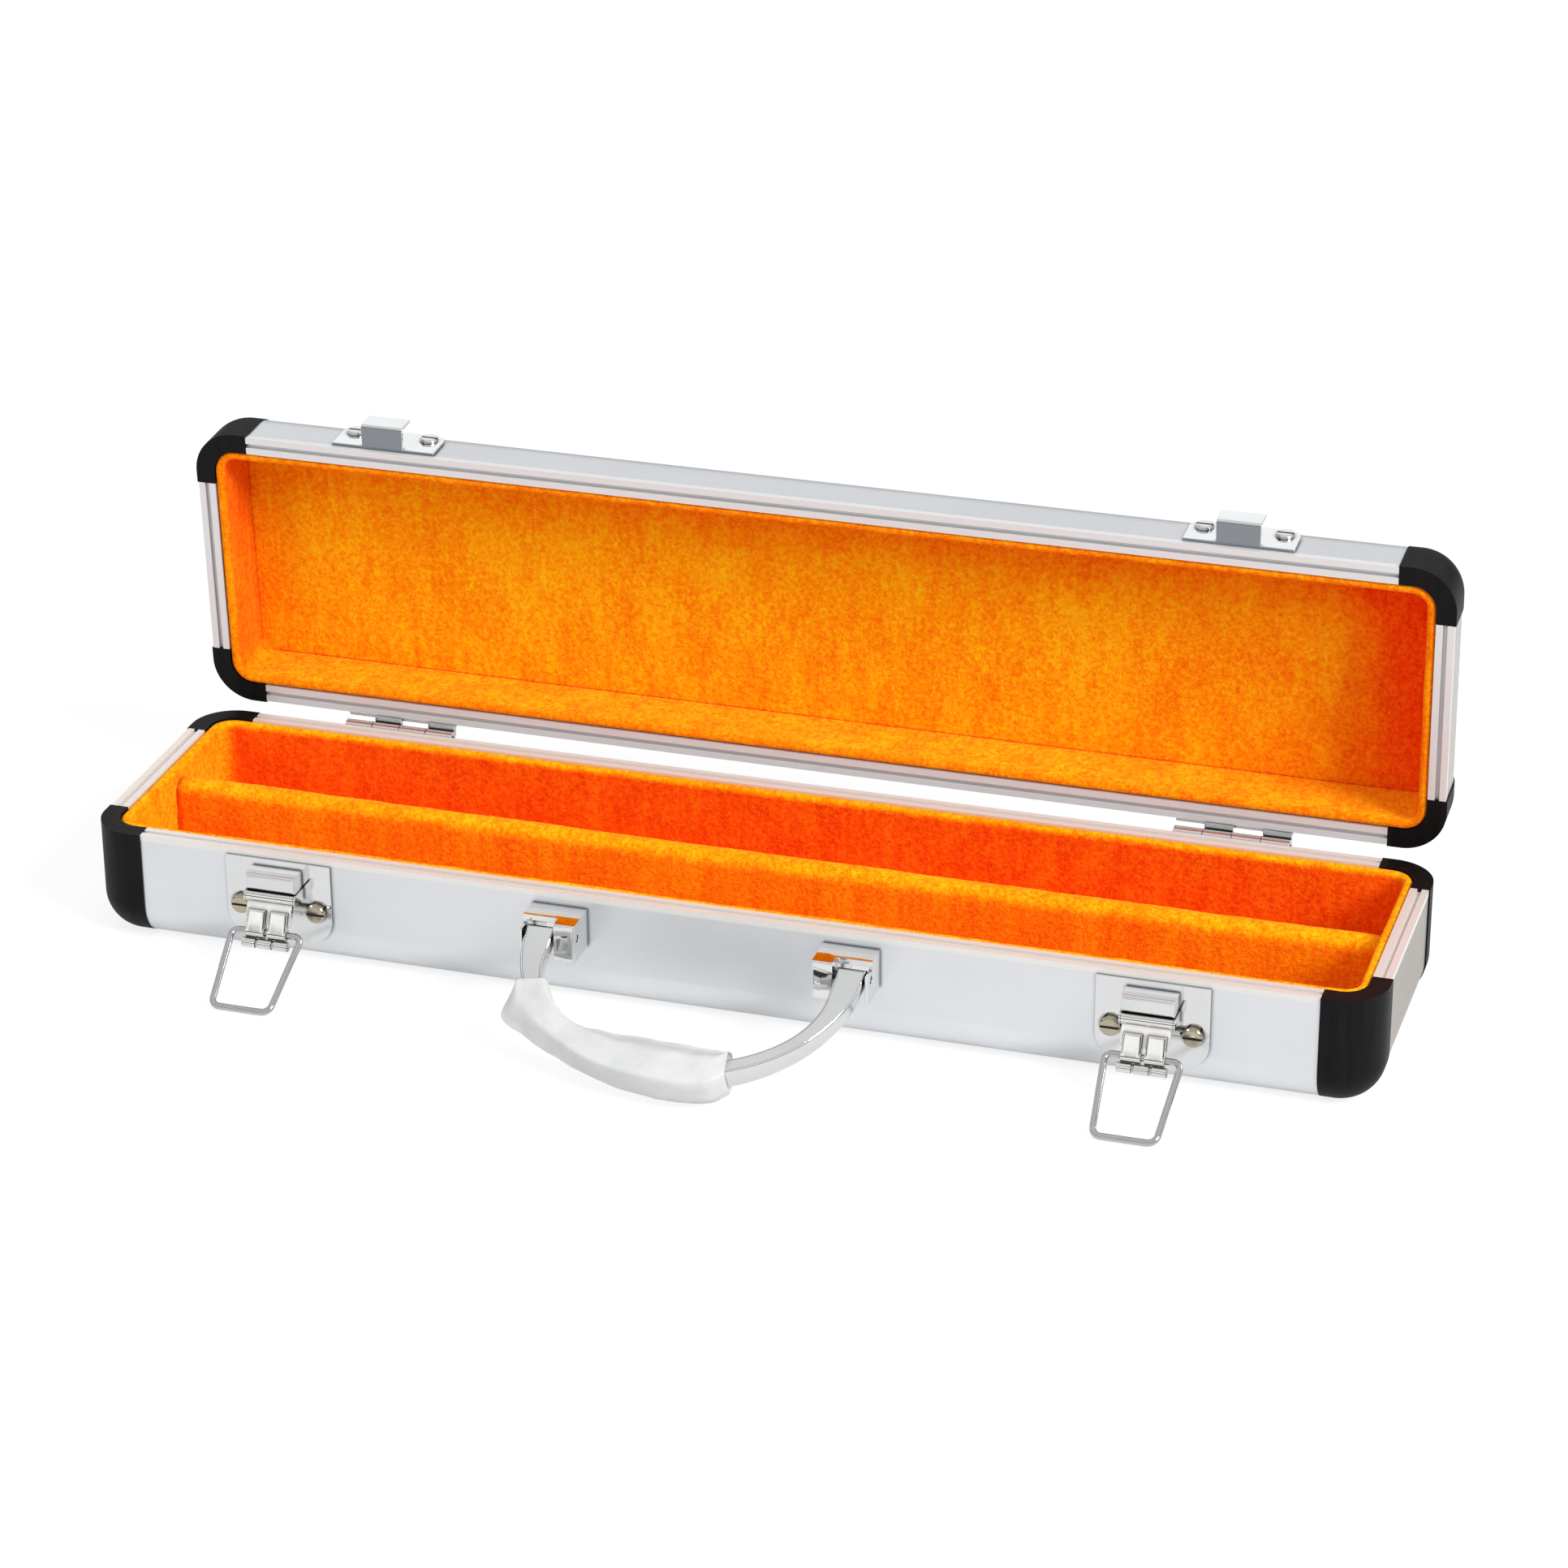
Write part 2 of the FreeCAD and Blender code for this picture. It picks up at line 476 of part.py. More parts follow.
for side, sx in (("left", -1.0), ("right", 1.0)):
    xc = D["latch_x"] * sx + D["hardware_shift"]
    n = "latch_plate_" + side
    half = D["plate_width"] / 2.0
    # plate with rounded lower corners, pressed hood above the lever, and two lugs that hold the lever's pin
    body = doc.addObject("PartDesign::Body", n + "_sheet")
    s = polygon(sketch(body, n + "_outline", "XZ_Plane", -front_y), [
        (xc - half, D["plate_low"]), (xc + half, D["plate_low"]), (xc + half, D["plate_high"]), (xc - half, D["plate_high"])])
    last = pad(body, s, n + "_pad", pt)
    def low_corner(e, xc=xc, half=half):
        bb = e.BoundBox
        return (bb.YMax - bb.YMin) > 0.5 and abs(bb.ZMin - D["plate_low"].v) < 1e-4 and abs(bb.ZMax - D["plate_low"].v) < 1e-4
    last = round_edges(body, last, n + "_corners", D["plate_round"], low_corner)
    hood = box(n + "_hood", xc - D["hood_width"] / 2.0, front_y - pt - D["hood_depth"], D["hood_low"], D["hood_width"], D["hood_depth"] + 0.2, D["hood_high"] - D["hood_low"])
    y_face = (front_y - pt - D["hood_depth"]).v
    hood_f = fillet(n + "_hood_round", hood, 1.3, lambda e, y_face=y_face: abs(e.BoundBox.YMin - y_face) < 1e-4 and abs(e.BoundBox.YMax - y_face) < 1e-4)
    lugs = []
    for k, sgn in ((0, -1.0), (1, 1.0)):
        inner = lw / 2.0 + D["lug_gap"]
        xl = xc + inner * sgn if sgn > 0 else xc - inner - D["lug_thickness"]
        lugs.append(box("%s_lug%d" % (n, k), xl, ay, az - 2.0, D["lug_thickness"], front_y - pt - ay + 0.2, 4.0))
        lugs.append(rod("%s_lugeye%d" % (n, k), xl, ay, az, 2.0, D["lug_thickness"]))
    bore = rod(n + "_bore", xc - lw, ay, az, D["lever_pin_radius"], lw * 2.0)
    holes = [bore]
    for k, sgn in ((0, -1.0), (1, 1.0)):
        piece, shank = screw("latch_screw_%s%d" % (side, k), xc + D["screw_offset"] * sgn, front_y - pt, D["screw_height"], -1.0, D["screw_radius"], D["screw_proud"], 0.8)
        latch_screws.append(piece)
        front_shanks.append(shank)
        holes.append(shank)
    keep(cut(n + "_cut", fuse(n + "_all", [body, hood_f] + lugs), holes), n)
    keep(rod("latch_pin_%s_rod" % side, xc - lw / 2.0 - D["lug_gap"] - D["lug_thickness"], ay, az, D["lever_pin_radius"],
             lw + (D["lug_gap"] + D["lug_thickness"]) * 2.0), "latch_pin_" + side)

    # lever: a strip between two rolled barrels (its pivot above, the bail's below it) and a rolled finger tab,
    # drawn hanging straight down from the pivot, then tilted outwards about it
    n = "latch_lever_" + side
    st = D["lever_sheet"]
    top = rod(n + "_pivot", xc - lw / 2.0, ay, az, D["lever_barrel"], lw)
    strip = box(n + "_strip", xc - lw / 2.0 + 0.4, ay - st / 2.0, az - D["lever_length"], lw - 0.8, st, D["lever_length"])
    tab = rod(n + "_tab", xc - lw / 2.0 + 0.2, ay - 0.4, az - D["lever_length"] + 0.3, 1.3, lw - 0.4)
    bumps = [rod("%s_bump%d" % (n, k), xc + off - 2.3, ay - 0.5, az - D["lever_length"] + 0.3, 1.6, 4.6) for k, off in ((0, -5.6), (1, 0.0), (2, 5.6))]
    # two broad ribs run into the two loops that hold the bail's wire; the strip is open between and beside them
    ribs, windows = [], []
    for k, sgn in ((0, -1.0), (1, 1.0)):
        xr = xc + D["rib_offset"] * sgn - D["rib_width"] / 2.0
        rib = box("%s_rib%d" % (n, k), xr, ay - D["bail_barrel"], az - D["bail_step"], D["rib_width"], D["bail_barrel"] - 0.3, D["bail_step"] - 4.2)
        y_out = (ay - D["bail_barrel"]).v
        z_top = (az - 4.2).v
        rib = fillet("%s_ribround%d" % (n, k), rib, 1.2, lambda e, y=y_out: abs(e.BoundBox.YMin - y) < 1e-4 and abs(e.BoundBox.YMax - y) < 1e-4
                     and not (e.BoundBox.ZMax - e.BoundBox.ZMin < 1e-4 and e.BoundBox.ZMin < z_top - 1.0))
        ribs.append(rib)
        ribs.append(rod("%s_loop%d" % (n, k), xr, ay, az - D["bail_step"], D["bail_barrel"], D["rib_width"]))
        edge = D["rib_offset"] + D["rib_width"] / 2.0
        xw = xc + edge if sgn > 0 else xc - edge - 3.0
        windows.append(box("%s_notch%d" % (n, k), xw, ay - 3.0, az - D["window_low"], 3.0, 6.0, D["window_low"] - D["window_top"]))
    gap = D["rib_offset"] - D["rib_width"] / 2.0
    windows.append(box(n + "_window", xc - gap, ay - 3.0, az - D["window_low"], gap * 2.0, 6.0, D["window_low"] - D["window_top"]))
    bore1 = rod(n + "_bore1", xc - lw, ay, az, D["lever_pin_radius"] + D["lever_play"], lw * 2.0)
    bore2 = rod(n + "_bore2", xc - lw, ay, az - D["bail_step"], D["wire_radius"] + D["bail_play"], lw * 2.0)
    lever = cut(n + "_cut", fuse(n + "_all", [top, cut(n + "_open", strip, windows), tab] + bumps + ribs), [bore1, bore2])
    lever.Placement = FreeCAD.Placement(V(0, 0, 0), FreeCAD.Rotation(V(1, 0, 0), -D["lever_tilt"].v), V(0, ay.v, az.v))
    keep(lever, n)

    # bail: one bent wire loop, hanging from the lever's barrel
    n = "latch_bail_" + side
    by = ay.v - math.sin(tilt) * D["bail_step"].v
    bz = az.v - math.cos(tilt) * D["bail_step"].v
    ht, hl, ln = D["bail_half_top"].v, D["bail_half_low"].v, D["bail_length"].v
    rt, rl, wr = D["bail_bend_top"].v, D["bail_bend_low"].v, D["wire_radius"].v
    corners = [V(-ht, 0, 0), V(ht, 0, 0), V(hl, 0, -ln), V(-hl, 0, -ln)]
    bends = [rt, rt, rl, rl]
    segs = []
    for i in range(4):
        a, b, c = corners[i - 1], corners[i], corners[(i + 1) % 4]
        ua, uc = (a - b).normalize(), (c - b).normalize()
        ang = ua.getAngle(uc)
        cutback = bends[i] / math.tan(ang / 2.0)
        p, r_ = b + ua * cutback, b + uc * cutback
        bis = (ua + uc).normalize()
        m = b + bis * (bends[i] / math.sin(ang / 2.0) - bends[i])
        segs.append((p, m, r_))
    edges = []
    for i in range(4):
        p, m, r_ = segs[i]
        edges.append(Part.Arc(p, m, r_).toShape())
        edges.append(Part.LineSegment(r_, segs[(i + 1) % 4][0]).toShape())
    solids = []
    for e in edges:
        if e.Curve.TypeId == "Part::GeomLine":
            a, b = e.Vertexes[0].Point, e.Vertexes[1].Point
            solids.append(Part.makeCylinder(wr, (b - a).Length, a, b - a))
        else:
            a = e.valueAt(e.FirstParameter)
            t = e.tangentAt(e.FirstParameter)
            disc = Part.Face(Part.Wire([Part.makeCircle(wr, a, t)]))
            cen, ax = e.Curve.Center, e.Curve.Axis
            turn = math.degrees(e.LastParameter - e.FirstParameter)
            solids.append(disc.revolve(cen, ax, turn))
    wire = solids[0].multiFuse(solids[1:]).removeSplitter()
    bail = doc.addObject("Part::Feature", n + "_wire")
    bail.Shape = wire
    bail.Placement = FreeCAD.Placement(V(xc.v, by, bz), FreeCAD.Rotation(V(1, 0, 0), -D["bail_tilt"].v))
    keep(bail, n)
keep(group("latch_screws_set", latch_screws), "latch_screws")

# ================================================================ catches on the lid's front (drawn on the closed lid)
catch_screws, catch_shanks = [], []
for side, sx in (("left", -1.0), ("right", 1.0)):
    xc = D["latch_x"] * sx + D["hardware_shift"]
    n = "lid_catch_" + side
    half = D["plate_width"] / 2.0
    body = doc.addObject("PartDesign::Body", n + "_sheet")
    s = polygon(sketch(body, n + "_outline", "XZ_Plane", -front_y), [
        (xc - half, D["catch_low"]), (xc + half, D["catch_low"]), (xc + half, D["catch_high"]), (xc - half, D["catch_high"])])
    last = pad(body, s, n + "_pad", pt)
    def high_corner(e):
        bb = e.BoundBox
        return (bb.YMax - bb.YMin) > 0.5 and abs(bb.ZMin - D["catch_high"].v) < 1e-4 and abs(bb.ZMax - D["catch_high"].v) < 1e-4
    last = round_edges(body, last, n + "_corners", D["plate_round"] * 0.6, high_corner)
    web = box(n + "_web", xc - D["hook_width"] / 2.0, front_y - pt - D["hook_rise"], D["catch_low"], D["hook_width"], D["hook_rise"] + 0.2, D["hook_web"])
    lip = box(n + "_lip", xc - D["hook_width"] / 2.0, front_y - pt - D["hook_rise"], D["catch_low"], D["hook_width"], D["hook_lip"], D["hook_top"] - D["catch_low"])
    hook = fuse(n + "_hook", [web, lip])
    y_face = (front_y - pt - D["hook_rise"]).v
    hook_f = fillet(n + "_hook_round", hook, 0.9, lambda e, y_face=y_face: along(0, y_face, D["catch_low"].v)(e))
    holes = []
    for k, sgn in ((0, -1.0), (1, 1.0)):
        piece, shank = screw("catch_screw_%s%d" % (side, k), xc + D["screw_offset"] * sgn, front_y - pt, D["catch_screw_height"], -1.0, D["catch_screw_radius"], D["catch_screw_proud"], 0.6)
        catch_screws.append(piece)
        catch_shanks.append(shank)
        holes.append(shank)
    c = cut(n + "_cut", fuse(n + "_all", [body, hook_f]), holes)
    c.Placement = OPEN
    keep(c, n)
g = group("lid_catch_screws_set", catch_screws)
g.Placement = OPEN
keep(g, "lid_catch_screws")
drill("lid_frame_front", catch_shanks, OPEN)

# ================================================================ carrying handle
hyy, hzz = front_y - D["handle_y"], D["handle_z"]
pins, rivets = [], []
for side, sx in (("left", -1.0), ("right", 1.0)):
    n = "handle_bracket_" + side
    def span(a, b, sx=sx):
        """x start and length between two distances from the middle, on this side"""
        return (a, b - a) if sx > 0 else (-b, b - a)
    x0, lx = span(D["bracket_inner"], D["bracket_outer"])
    x0 = x0 + D["hardware_shift"]
    y0 = front_y - D["bracket_depth"]
    block = box(n + "_block", x0, y0, D["bracket_low"], lx, D["bracket_depth"], D["bracket_high"] - D["bracket_low"])
    yf = y0.v
    block_f = fillet(n + "_round", block, 0.8, lambda e, yf=yf: abs(e.BoundBox.YMin - yf) < 1e-4 and abs(e.BoundBox.YMax - yf) < 1e-4)
    x1, l1 = span(D["slot_inner"], D["slot_outer"])
    x1 = x1 + D["hardware_shift"]
    slot = box(n + "_slot", x1, y0 - 1.0, D["bracket_low"] - 1.0, l1, D["bracket_depth"] + 1.0 - D["bracket_back"], D["bracket_high"] - D["bracket_roof"] - D["bracket_low"] + 1.0)
    # the roof and the outer ear stand back above the arm; the inner block comes right forward
    x2, l2 = span(D["slot_inner"], D["bracket_outer"])
    front_cut = box(n + "_front_cut", x2 + D["hardware_shift"] - (3.0 if sx < 0 else 0.0), y0 - 1.0, D["bracket_high"] - D["bracket_roof"] - 1.2,
                    l2 + 3.0, D["bracket_setback"] + 1.0, D["bracket_roof"] + 3.0)
    bore = rod(n + "_bore", x0 - 1.0, hyy, hzz, D["handle_pin_radius"], lx + 2.0)
    own = []
    for k, xr in enumerate((D["bracket_inner"] + 3.2, D["slot_inner"] + 5.5)):
        own.append(rod("%s_rivet%d" % (n, k), xr * sx + D["hardware_shift"], front_y - D["bracket_back"] / 2.0, D["bracket_low"] + 7.0, 1.5, D["bracket_back"] / 2.0 + w + 1.2, V(0, 1, 0)))
    rivets.extend(own)
    keep(cut(n + "_cut", block_f, [slot, front_cut, bore] + own), n)
    pins.append(rod(n + "_pin", x0 + 0.3, hyy, hzz, D["handle_pin_radius"], lx - 0.6))
keep(group("handle_pins_set", pins), "handle_pins")
keep(group("handle_bracket_rivets_set", rivets), "handle_bracket_rivets")
drill("base_frame_front", front_shanks + rivets)


def under_curve(a, b, start, y0, y1, over=3.0):
    """A plate between y0 and y1: it fills |x| < a down to z = -start, then a half ellipse (a, b) below that."""
    ell = Part.Ellipse(V(a, 0, -start), V(0, 0, -start - b), V(0, 0, -start)) if a >= b else Part.Ellipse(V(0, 0, -start - b), V(a, 0, -start), V(0, 0, -start))
    e = None
    for t0 in (0.0, math.pi / 2.0, math.pi, 1.5 * math.pi):
        trial = Part.ArcOfEllipse(ell, t0, t0 + math.pi).toShape()
        middle = trial.valueAt((trial.FirstParameter + trial.LastParameter) / 2.0)
        if (middle - V(0, 0, -start - b)).Length < 1e-3:
            e = trial
    p, r_ = e.valueAt(e.FirstParameter), e.valueAt(e.LastParameter)
    top_p, top_r = V(p.x, 0, over), V(r_.x, 0, over)
    edges = [e, Part.LineSegment(r_, top_r).toShape(), Part.LineSegment(top_r, top_p).toShape(), Part.LineSegment(top_p, p).toShape()]
    f = Part.Face(Part.Wire(edges))
    f.translate(V(0, y0, 0))
    return f.extrude(V(0, y1 - y0, 0))


def slab(points, half):
    """A prism along x over |x| < half, its outline given in (y, z)."""
    pts = [V(-half, y, z) for y, z in points]
    f = Part.Face(Part.makePolygon(pts + [pts[0]]))
    return f.extrude(V(2 * half, 0, 0))


# the handle is drawn with its pivot axis on x and hanging straight down (front towards -y), then tilted outwards
oa, ob, ia, ib = D["strap_outer_a"].v, D["strap_outer_b"].v, D["strap_inner_a"].v, D["strap_inner_b"].v
si, back, front = D["strap_inner_start"].v, D["strap_back"].v, D["strap_front"].v
strap = under_curve(oa, ob, 0.0, back + 2.0, -front - 3.0).cut(under_curve(ia, ib, si, back + 4.0, -front - 5.0, 6.0))
strap = strap.common(slab([(back, 5.0), (back, -ob - 8.0), (-front - 0.82, -ob - 8.0), (-back - 0.35, -6.0), (-back, -2.0), (-back, 5.0)], oa + 5.0))


def long_edge(e):
    bb = e.BoundBox
    return bb.XMax - bb.XMin > 8.0 and (bb.ZMax - bb.ZMin) > 8.0


strap = strap.makeFillet(D["strap_edge"].v, [e for e in strap.Edges if long_edge(e)])
for sgn in (-1.0, 1.0):
    x_a, x_b = (ia - 1.0, oa + 1.0) if sgn > 0 else (-oa - 1.0, -ia + 1.0)
    square = Part.makeBox(x_b - x_a, 4 * back, 8.0, V(x_a, -2 * back, 0))
    eye = Part.makeCylinder(back, x_b - x_a, V(x_a, 0, 0), V(1, 0, 0))
    strap = strap.cut(square.cut(eye))
bore = Part.makeCylinder(D["handle_pin_radius"].v + D["handle_play"].v, 2 * oa + 4, V(-oa - 2, 0, 0), V(1, 0, 0))
strap = strap.cut(bore)
handle_place = FreeCAD.Placement(V(D["hardware_shift"].v, hyy.v, hzz.v), FreeCAD.Rotation(V(1, 0, 0), -D["handle_tilt"].v))
handle = doc.addObject("Part::Feature", "handle_strap_shape")
handle.Shape = strap
handle.Placement = handle_place
keep(handle, "handle_strap")

# loose protective film: a sleeve round the grip, from the left arm past the middle
go, gi, fw = D["film_outer_grow"].v, D["film_inner_grow"].v, D["film_wall"].v


def sleeve_body(shrink):
    k = shrink
    whole = under_curve(oa + go - k, ob + go - k, 0.0, back + fw - k, -front - 1.3 + k).cut(under_curve(ia - gi + k, ib - gi + k, si, back + 5.0, -front - 9.0, 6.0))
    return whole.common(slab([(back + fw - k, -D["film_start"].v), (back + fw - k, -90.0), (-front - 2.6 + k, -90.0), (-front - 1.2 + k, -ob), (-back - 2.9 + k, -D["film_start"].v)], oa + 20.0))


film = sleeve_body(0.0).cut(sleeve_body(fw))
film = film.common(Part.makeBox(D["film_right"].v + oa + 20.0, 60, 120, V(-oa - 20.0, -30, -120)))
# open the upper end, where the arm goes in
arm_gap = under_curve(oa + go - fw, ob + go - fw, 0.0, back, -front - 0.6).cut(under_curve(ia - gi + fw, ib - gi + fw, si, back + 5.0, -front - 9.0, 6.0))
arm_gap = arm_gap.common(slab([(back, -D["film_start"].v + 1.0), (back, -D["film_start"].v - 2.0), (-back - 2.2, -D["film_start"].v - 2.0), (-back - 2.2, -D["film_start"].v + 1.0)], oa + 20.0))
film = film.cut(arm_gap)
sleeve = doc.addObject("Part::Feature", "handle_film_shape")
sleeve.Shape = film
sleeve.Placement = handle_place
keep(sleeve, "handle_film_sleeve")

# ================================================================ check and write
doc.recompute()
bad = []
for o in doc.Objects:
    if "Invalid" in o.State or "Error" in o.State:
        bad.append(o.Name + " " + str(o.State))
for label, o in parts:
    sh = o.Shape
    if sh.isNull() or not sh.isValid() or not sh.Solids:
        bad.append(label + " shape")
if bad:
    raise RuntimeError("failed: " + "; ".join(bad))
labels = [label for label, o in parts]
if len(labels) != len(set(labels)) or len(labels) > 60:
    raise RuntimeError("labels: %d" % len(labels))
os.makedirs("parts", exist_ok=True)
for label, o in parts:
    o.Shape.exportStep(os.path.join("parts", label + ".step"))
    bb = o.Shape.BoundBox
    print("%-28s solids %d vol %9.1f  x %.1f..%.1f y %.1f..%.1f z %.1f..%.1f" % (
        label, len(o.Shape.Solids), o.Shape.Volume, bb.XMin, bb.XMax, bb.YMin, bb.YMax, bb.ZMin, bb.ZMax))
print("parts", len(parts))
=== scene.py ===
import bpy
import bmesh
import math
import numpy as np
from mathutils import Matrix, Vector, noise


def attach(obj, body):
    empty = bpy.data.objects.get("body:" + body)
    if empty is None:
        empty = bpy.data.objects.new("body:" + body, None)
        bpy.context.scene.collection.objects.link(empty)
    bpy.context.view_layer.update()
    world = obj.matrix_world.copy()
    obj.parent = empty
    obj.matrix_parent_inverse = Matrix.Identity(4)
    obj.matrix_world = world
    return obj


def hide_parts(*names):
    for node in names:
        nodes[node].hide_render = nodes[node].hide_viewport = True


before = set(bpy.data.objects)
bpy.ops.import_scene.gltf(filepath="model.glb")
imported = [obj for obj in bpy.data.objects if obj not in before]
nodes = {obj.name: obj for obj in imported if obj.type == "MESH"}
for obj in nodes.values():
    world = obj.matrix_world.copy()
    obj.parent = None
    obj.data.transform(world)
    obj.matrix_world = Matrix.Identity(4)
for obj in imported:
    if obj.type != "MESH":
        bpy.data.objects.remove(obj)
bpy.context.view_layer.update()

MM = 0.001
scene = bpy.context.scene

# ---------------------------------------------------------------- sizes shared with the CAD model, in mm
HALF_L, HALF_W = 215.0, 50.0
BASE_H, LID_H = 39.5, 26.0
HINGE_Y, HINGE_Z = 54.0, 37.0
OPEN_ANGLE = 86.85
LID_TOP = 66.0
HANDLE_SHIFT = -1.6
LATCH_X = {"left": -147.6, "right": 144.4}


# ================================================================ camera, light and floor
def make_camera():
    az, el, roll = math.radians(17.45), math.radians(25.561), math.radians(-0.349)
    back = Vector((math.sin(az) * math.cos(el), -math.cos(az) * math.cos(el), math.sin(el)))
    fwd = -back
    r = fwd.cross(Vector((0, 0, 1))).normalized()
    u = r.cross(fwd)
    r2 = r * math.cos(roll) + u * math.sin(roll)
    u2 = u * math.cos(roll) - r * math.sin(roll)
    loc = (Vector((-0.03, 29.73, 48.49)) + back * 1564.66) * MM
    data = bpy.data.cameras.new("camera")
    data.sensor_width = 36.0
    data.lens = 5835.7 / 1932.0 * 36.0
    data.clip_start, data.clip_end = 0.05, 50.0
    cam = bpy.data.objects.new("camera", data)
    scene.collection.objects.link(cam)
    m = Matrix((r2, u2, back)).transposed().to_4x4()
    m.translation = loc
    cam.matrix_world = m
    scene.camera = cam
    return cam


def area_light(name, loc, target, size, power, color=(1, 1, 1), size_y=None):
    data = bpy.data.lights.new(name, "AREA")
    data.shape = "RECTANGLE"
    data.size = size
    data.size_y = size_y or size
    data.energy = power
    data.color = color
    o = bpy.data.objects.new(name, data)
    scene.collection.objects.link(o)
    d = (Vector(target) - Vector(loc)).normalized()
    o.matrix_world = Matrix.Translation(Vector(loc)) @ d.to_track_quat("-Z", "Y").to_matrix().to_4x4()
    return o


def tree_of(mat):
    mat.use_nodes = True
    t = mat.node_tree
    for n in list(t.nodes):
        t.nodes.remove(n)
    return t


def node(t, kind, **values):
    n = t.nodes.new(kind)
    for k, v in values.items():
        if hasattr(n, k) and not isinstance(v, (tuple, list)) and k not in n.inputs:
            setattr(n, k, v)
        else:
            n.inputs[k.replace("_", " ")].default_value = v
    return n


def make_world():
    w = bpy.data.worlds.new("studio")
    scene.world = w
    w.use_nodes = True
    t = w.node_tree
    for n in list(t.nodes):
        t.nodes.remove(n)
    out = t.nodes.new("ShaderNodeOutputWorld")
    bg = t.nodes.new("ShaderNodeBackground")
    coord = t.nodes.new("ShaderNodeTexCoord")
    sep = t.nodes.new("ShaderNodeSeparateXYZ")
    t.links.new(coord.outputs["Generated"], sep.inputs[0])
    # brightness by height, for the soft fill and for what polished metal sees: there the room has a dark low
    # wall, a bright band at window height and a dimmer ceiling
    def by_height(stops):
        n = t.nodes.new("ShaderNodeValToRGB")
        r = n.color_ramp
        r.interpolation = "EASE"
        r.elements[0].position, r.elements[0].color = stops[0][0], (stops[0][1],) * 3 + (1,)
        r.elements[1].position, r.elements[1].color = stops[-1][0], (stops[-1][1],) * 3 + (1,)
        for p, v in stops[1:-1]:
            e = r.elements.new(p)
            e.color = (v, v, v, 1)
        return n

    ramp = by_height([(0.0, 0.92), (0.50, 0.92), (0.515, 0.40), (0.56, 0.45), (0.62, 0.80), (0.75, 1.0), (1.0, 1.05)])
    room = by_height([(0.0, 0.55), (0.499, 0.55), (0.503, 0.03), (0.585, 0.04), (0.625, 0.55), (0.66, 1.12), (0.76, 1.12), (0.80, 0.50),
                      (0.86, 0.40), (0.93, 0.78), (1.0, 0.80)])
    half = t.nodes.new("ShaderNodeMath")
    half.operation = "MULTIPLY_ADD"
    half.inputs[1].default_value = 0.5
    half.inputs[2].default_value = 0.5
    t.links.new(sep.outputs["Z"], half.inputs[0])
    t.links.new(half.outputs[0], ramp.inputs[0])
    t.links.new(half.outputs[0], room.inputs[0])
    # soft fill on matt surfaces, the full room in polished ones, a plain pale backdrop behind the object
    path = t.nodes.new("ShaderNodeLightPath")
    t.links.new(ramp.outputs[0], bg.inputs["Color"])
    bg.inputs["Strength"].default_value = 0.54
    seen = t.nodes.new("ShaderNodeBackground")
    t.links.new(room.outputs[0], seen.inputs["Color"])
    seen.inputs["Strength"].default_value = 1.0
    pick = t.nodes.new("ShaderNodeMixShader")
    t.links.new(path.outputs["Is Glossy Ray"], pick.inputs[0])
    t.links.new(bg.outputs[0], pick.inputs[1])
    t.links.new(seen.outputs[0], pick.inputs[2])
    back = t.nodes.new("ShaderNodeBackground")
    back.inputs["Color"].default_value = (0.97, 0.97, 0.97, 1)
    back.inputs["Strength"].default_value = 1.0
    mix = t.nodes.new("ShaderNodeMixShader")
    t.links.new(path.outputs["Is Camera Ray"], mix.inputs[0])
    t.links.new(pick.outputs[0], mix.inputs[1])
    t.links.new(back.outputs[0], mix.inputs[2])
    t.links.new(mix.outputs[0], out.inputs[0])


def make_floor():
    me = bpy.data.meshes.new("floor")
    bm = bmesh.new()
    for x, y in ((-8, -8), (8, -8), (8, 8), (-8, 8)):
        bm.verts.new((x, y, -0.00005))
    bm.faces.new(bm.verts[:])
    bm.to_mesh(me)
    bm.free()
    o = bpy.data.objects.new("floor", me)
    scene.collection.objects.link(o)
    m = bpy.data.materials.new("floor_white")
    t = tree_of(m)
    out = node(t, "ShaderNodeOutputMaterial")
    path = node(t, "ShaderNodeLightPath")
    mix = node(t, "ShaderNodeMixShader")
    t.links.new(path.outputs["Is Camera Ray"], mix.inputs[0])
    for slot, tone, glow in ((1, 0.50, 0.30), (2, 0.26, 0.80)):
        dif = node(t, "ShaderNodeBsdfDiffuse")
        dif.inputs["Color"].default_value = (tone, tone, tone, 1)
        em = node(t, "ShaderNodeEmission")
        em.inputs["Color"].default_value = (1, 1, 1, 1)
        em.inputs["Strength"].default_value = glow
        add = node(t, "ShaderNodeAddShader")
        t.links.new(dif.outputs[0], add.inputs[0])
        t.links.new(em.outputs[0], add.inputs[1])
        t.links.new(add.outputs[0], mix.inputs[slot])
    t.links.new(mix.outputs[0], out.inputs["Surface"])
    me.materials.append(m)
    return o


make_camera()
make_world()
make_floor()
area_light("key", (3.2, -1.3, 2.4), (0, 0, 0.05), 1.5, 160.0)
fill_light = area_light("fill", (-2.6, -2.2, 1.5), (0.1, 0, 0.08), 1.8, 33.0)
fill_light.visible_glossy = False
top_light = area_light("top", (-0.2, -0.1, 2.0), (0, 0, 0.05), 1.6, 5.0)
top_light.visible_glossy = False
scene.view_settings.view_transform = "Standard"
scene.view_settings.look = "None"
scene.view_settings.exposure = 0.0
scene.view_settings.gamma = 1.0


# ================================================================ materials
def coords(t, scale=(1, 1, 1)):
    c = node(t, "ShaderNodeTexCoord")
    m = node(t, "ShaderNodeMapping")
    m.inputs["Scale"].default_value = scale
    t.links.new(c.outputs["Object"], m.inputs["Vector"])
    return m.outputs["Vector"]


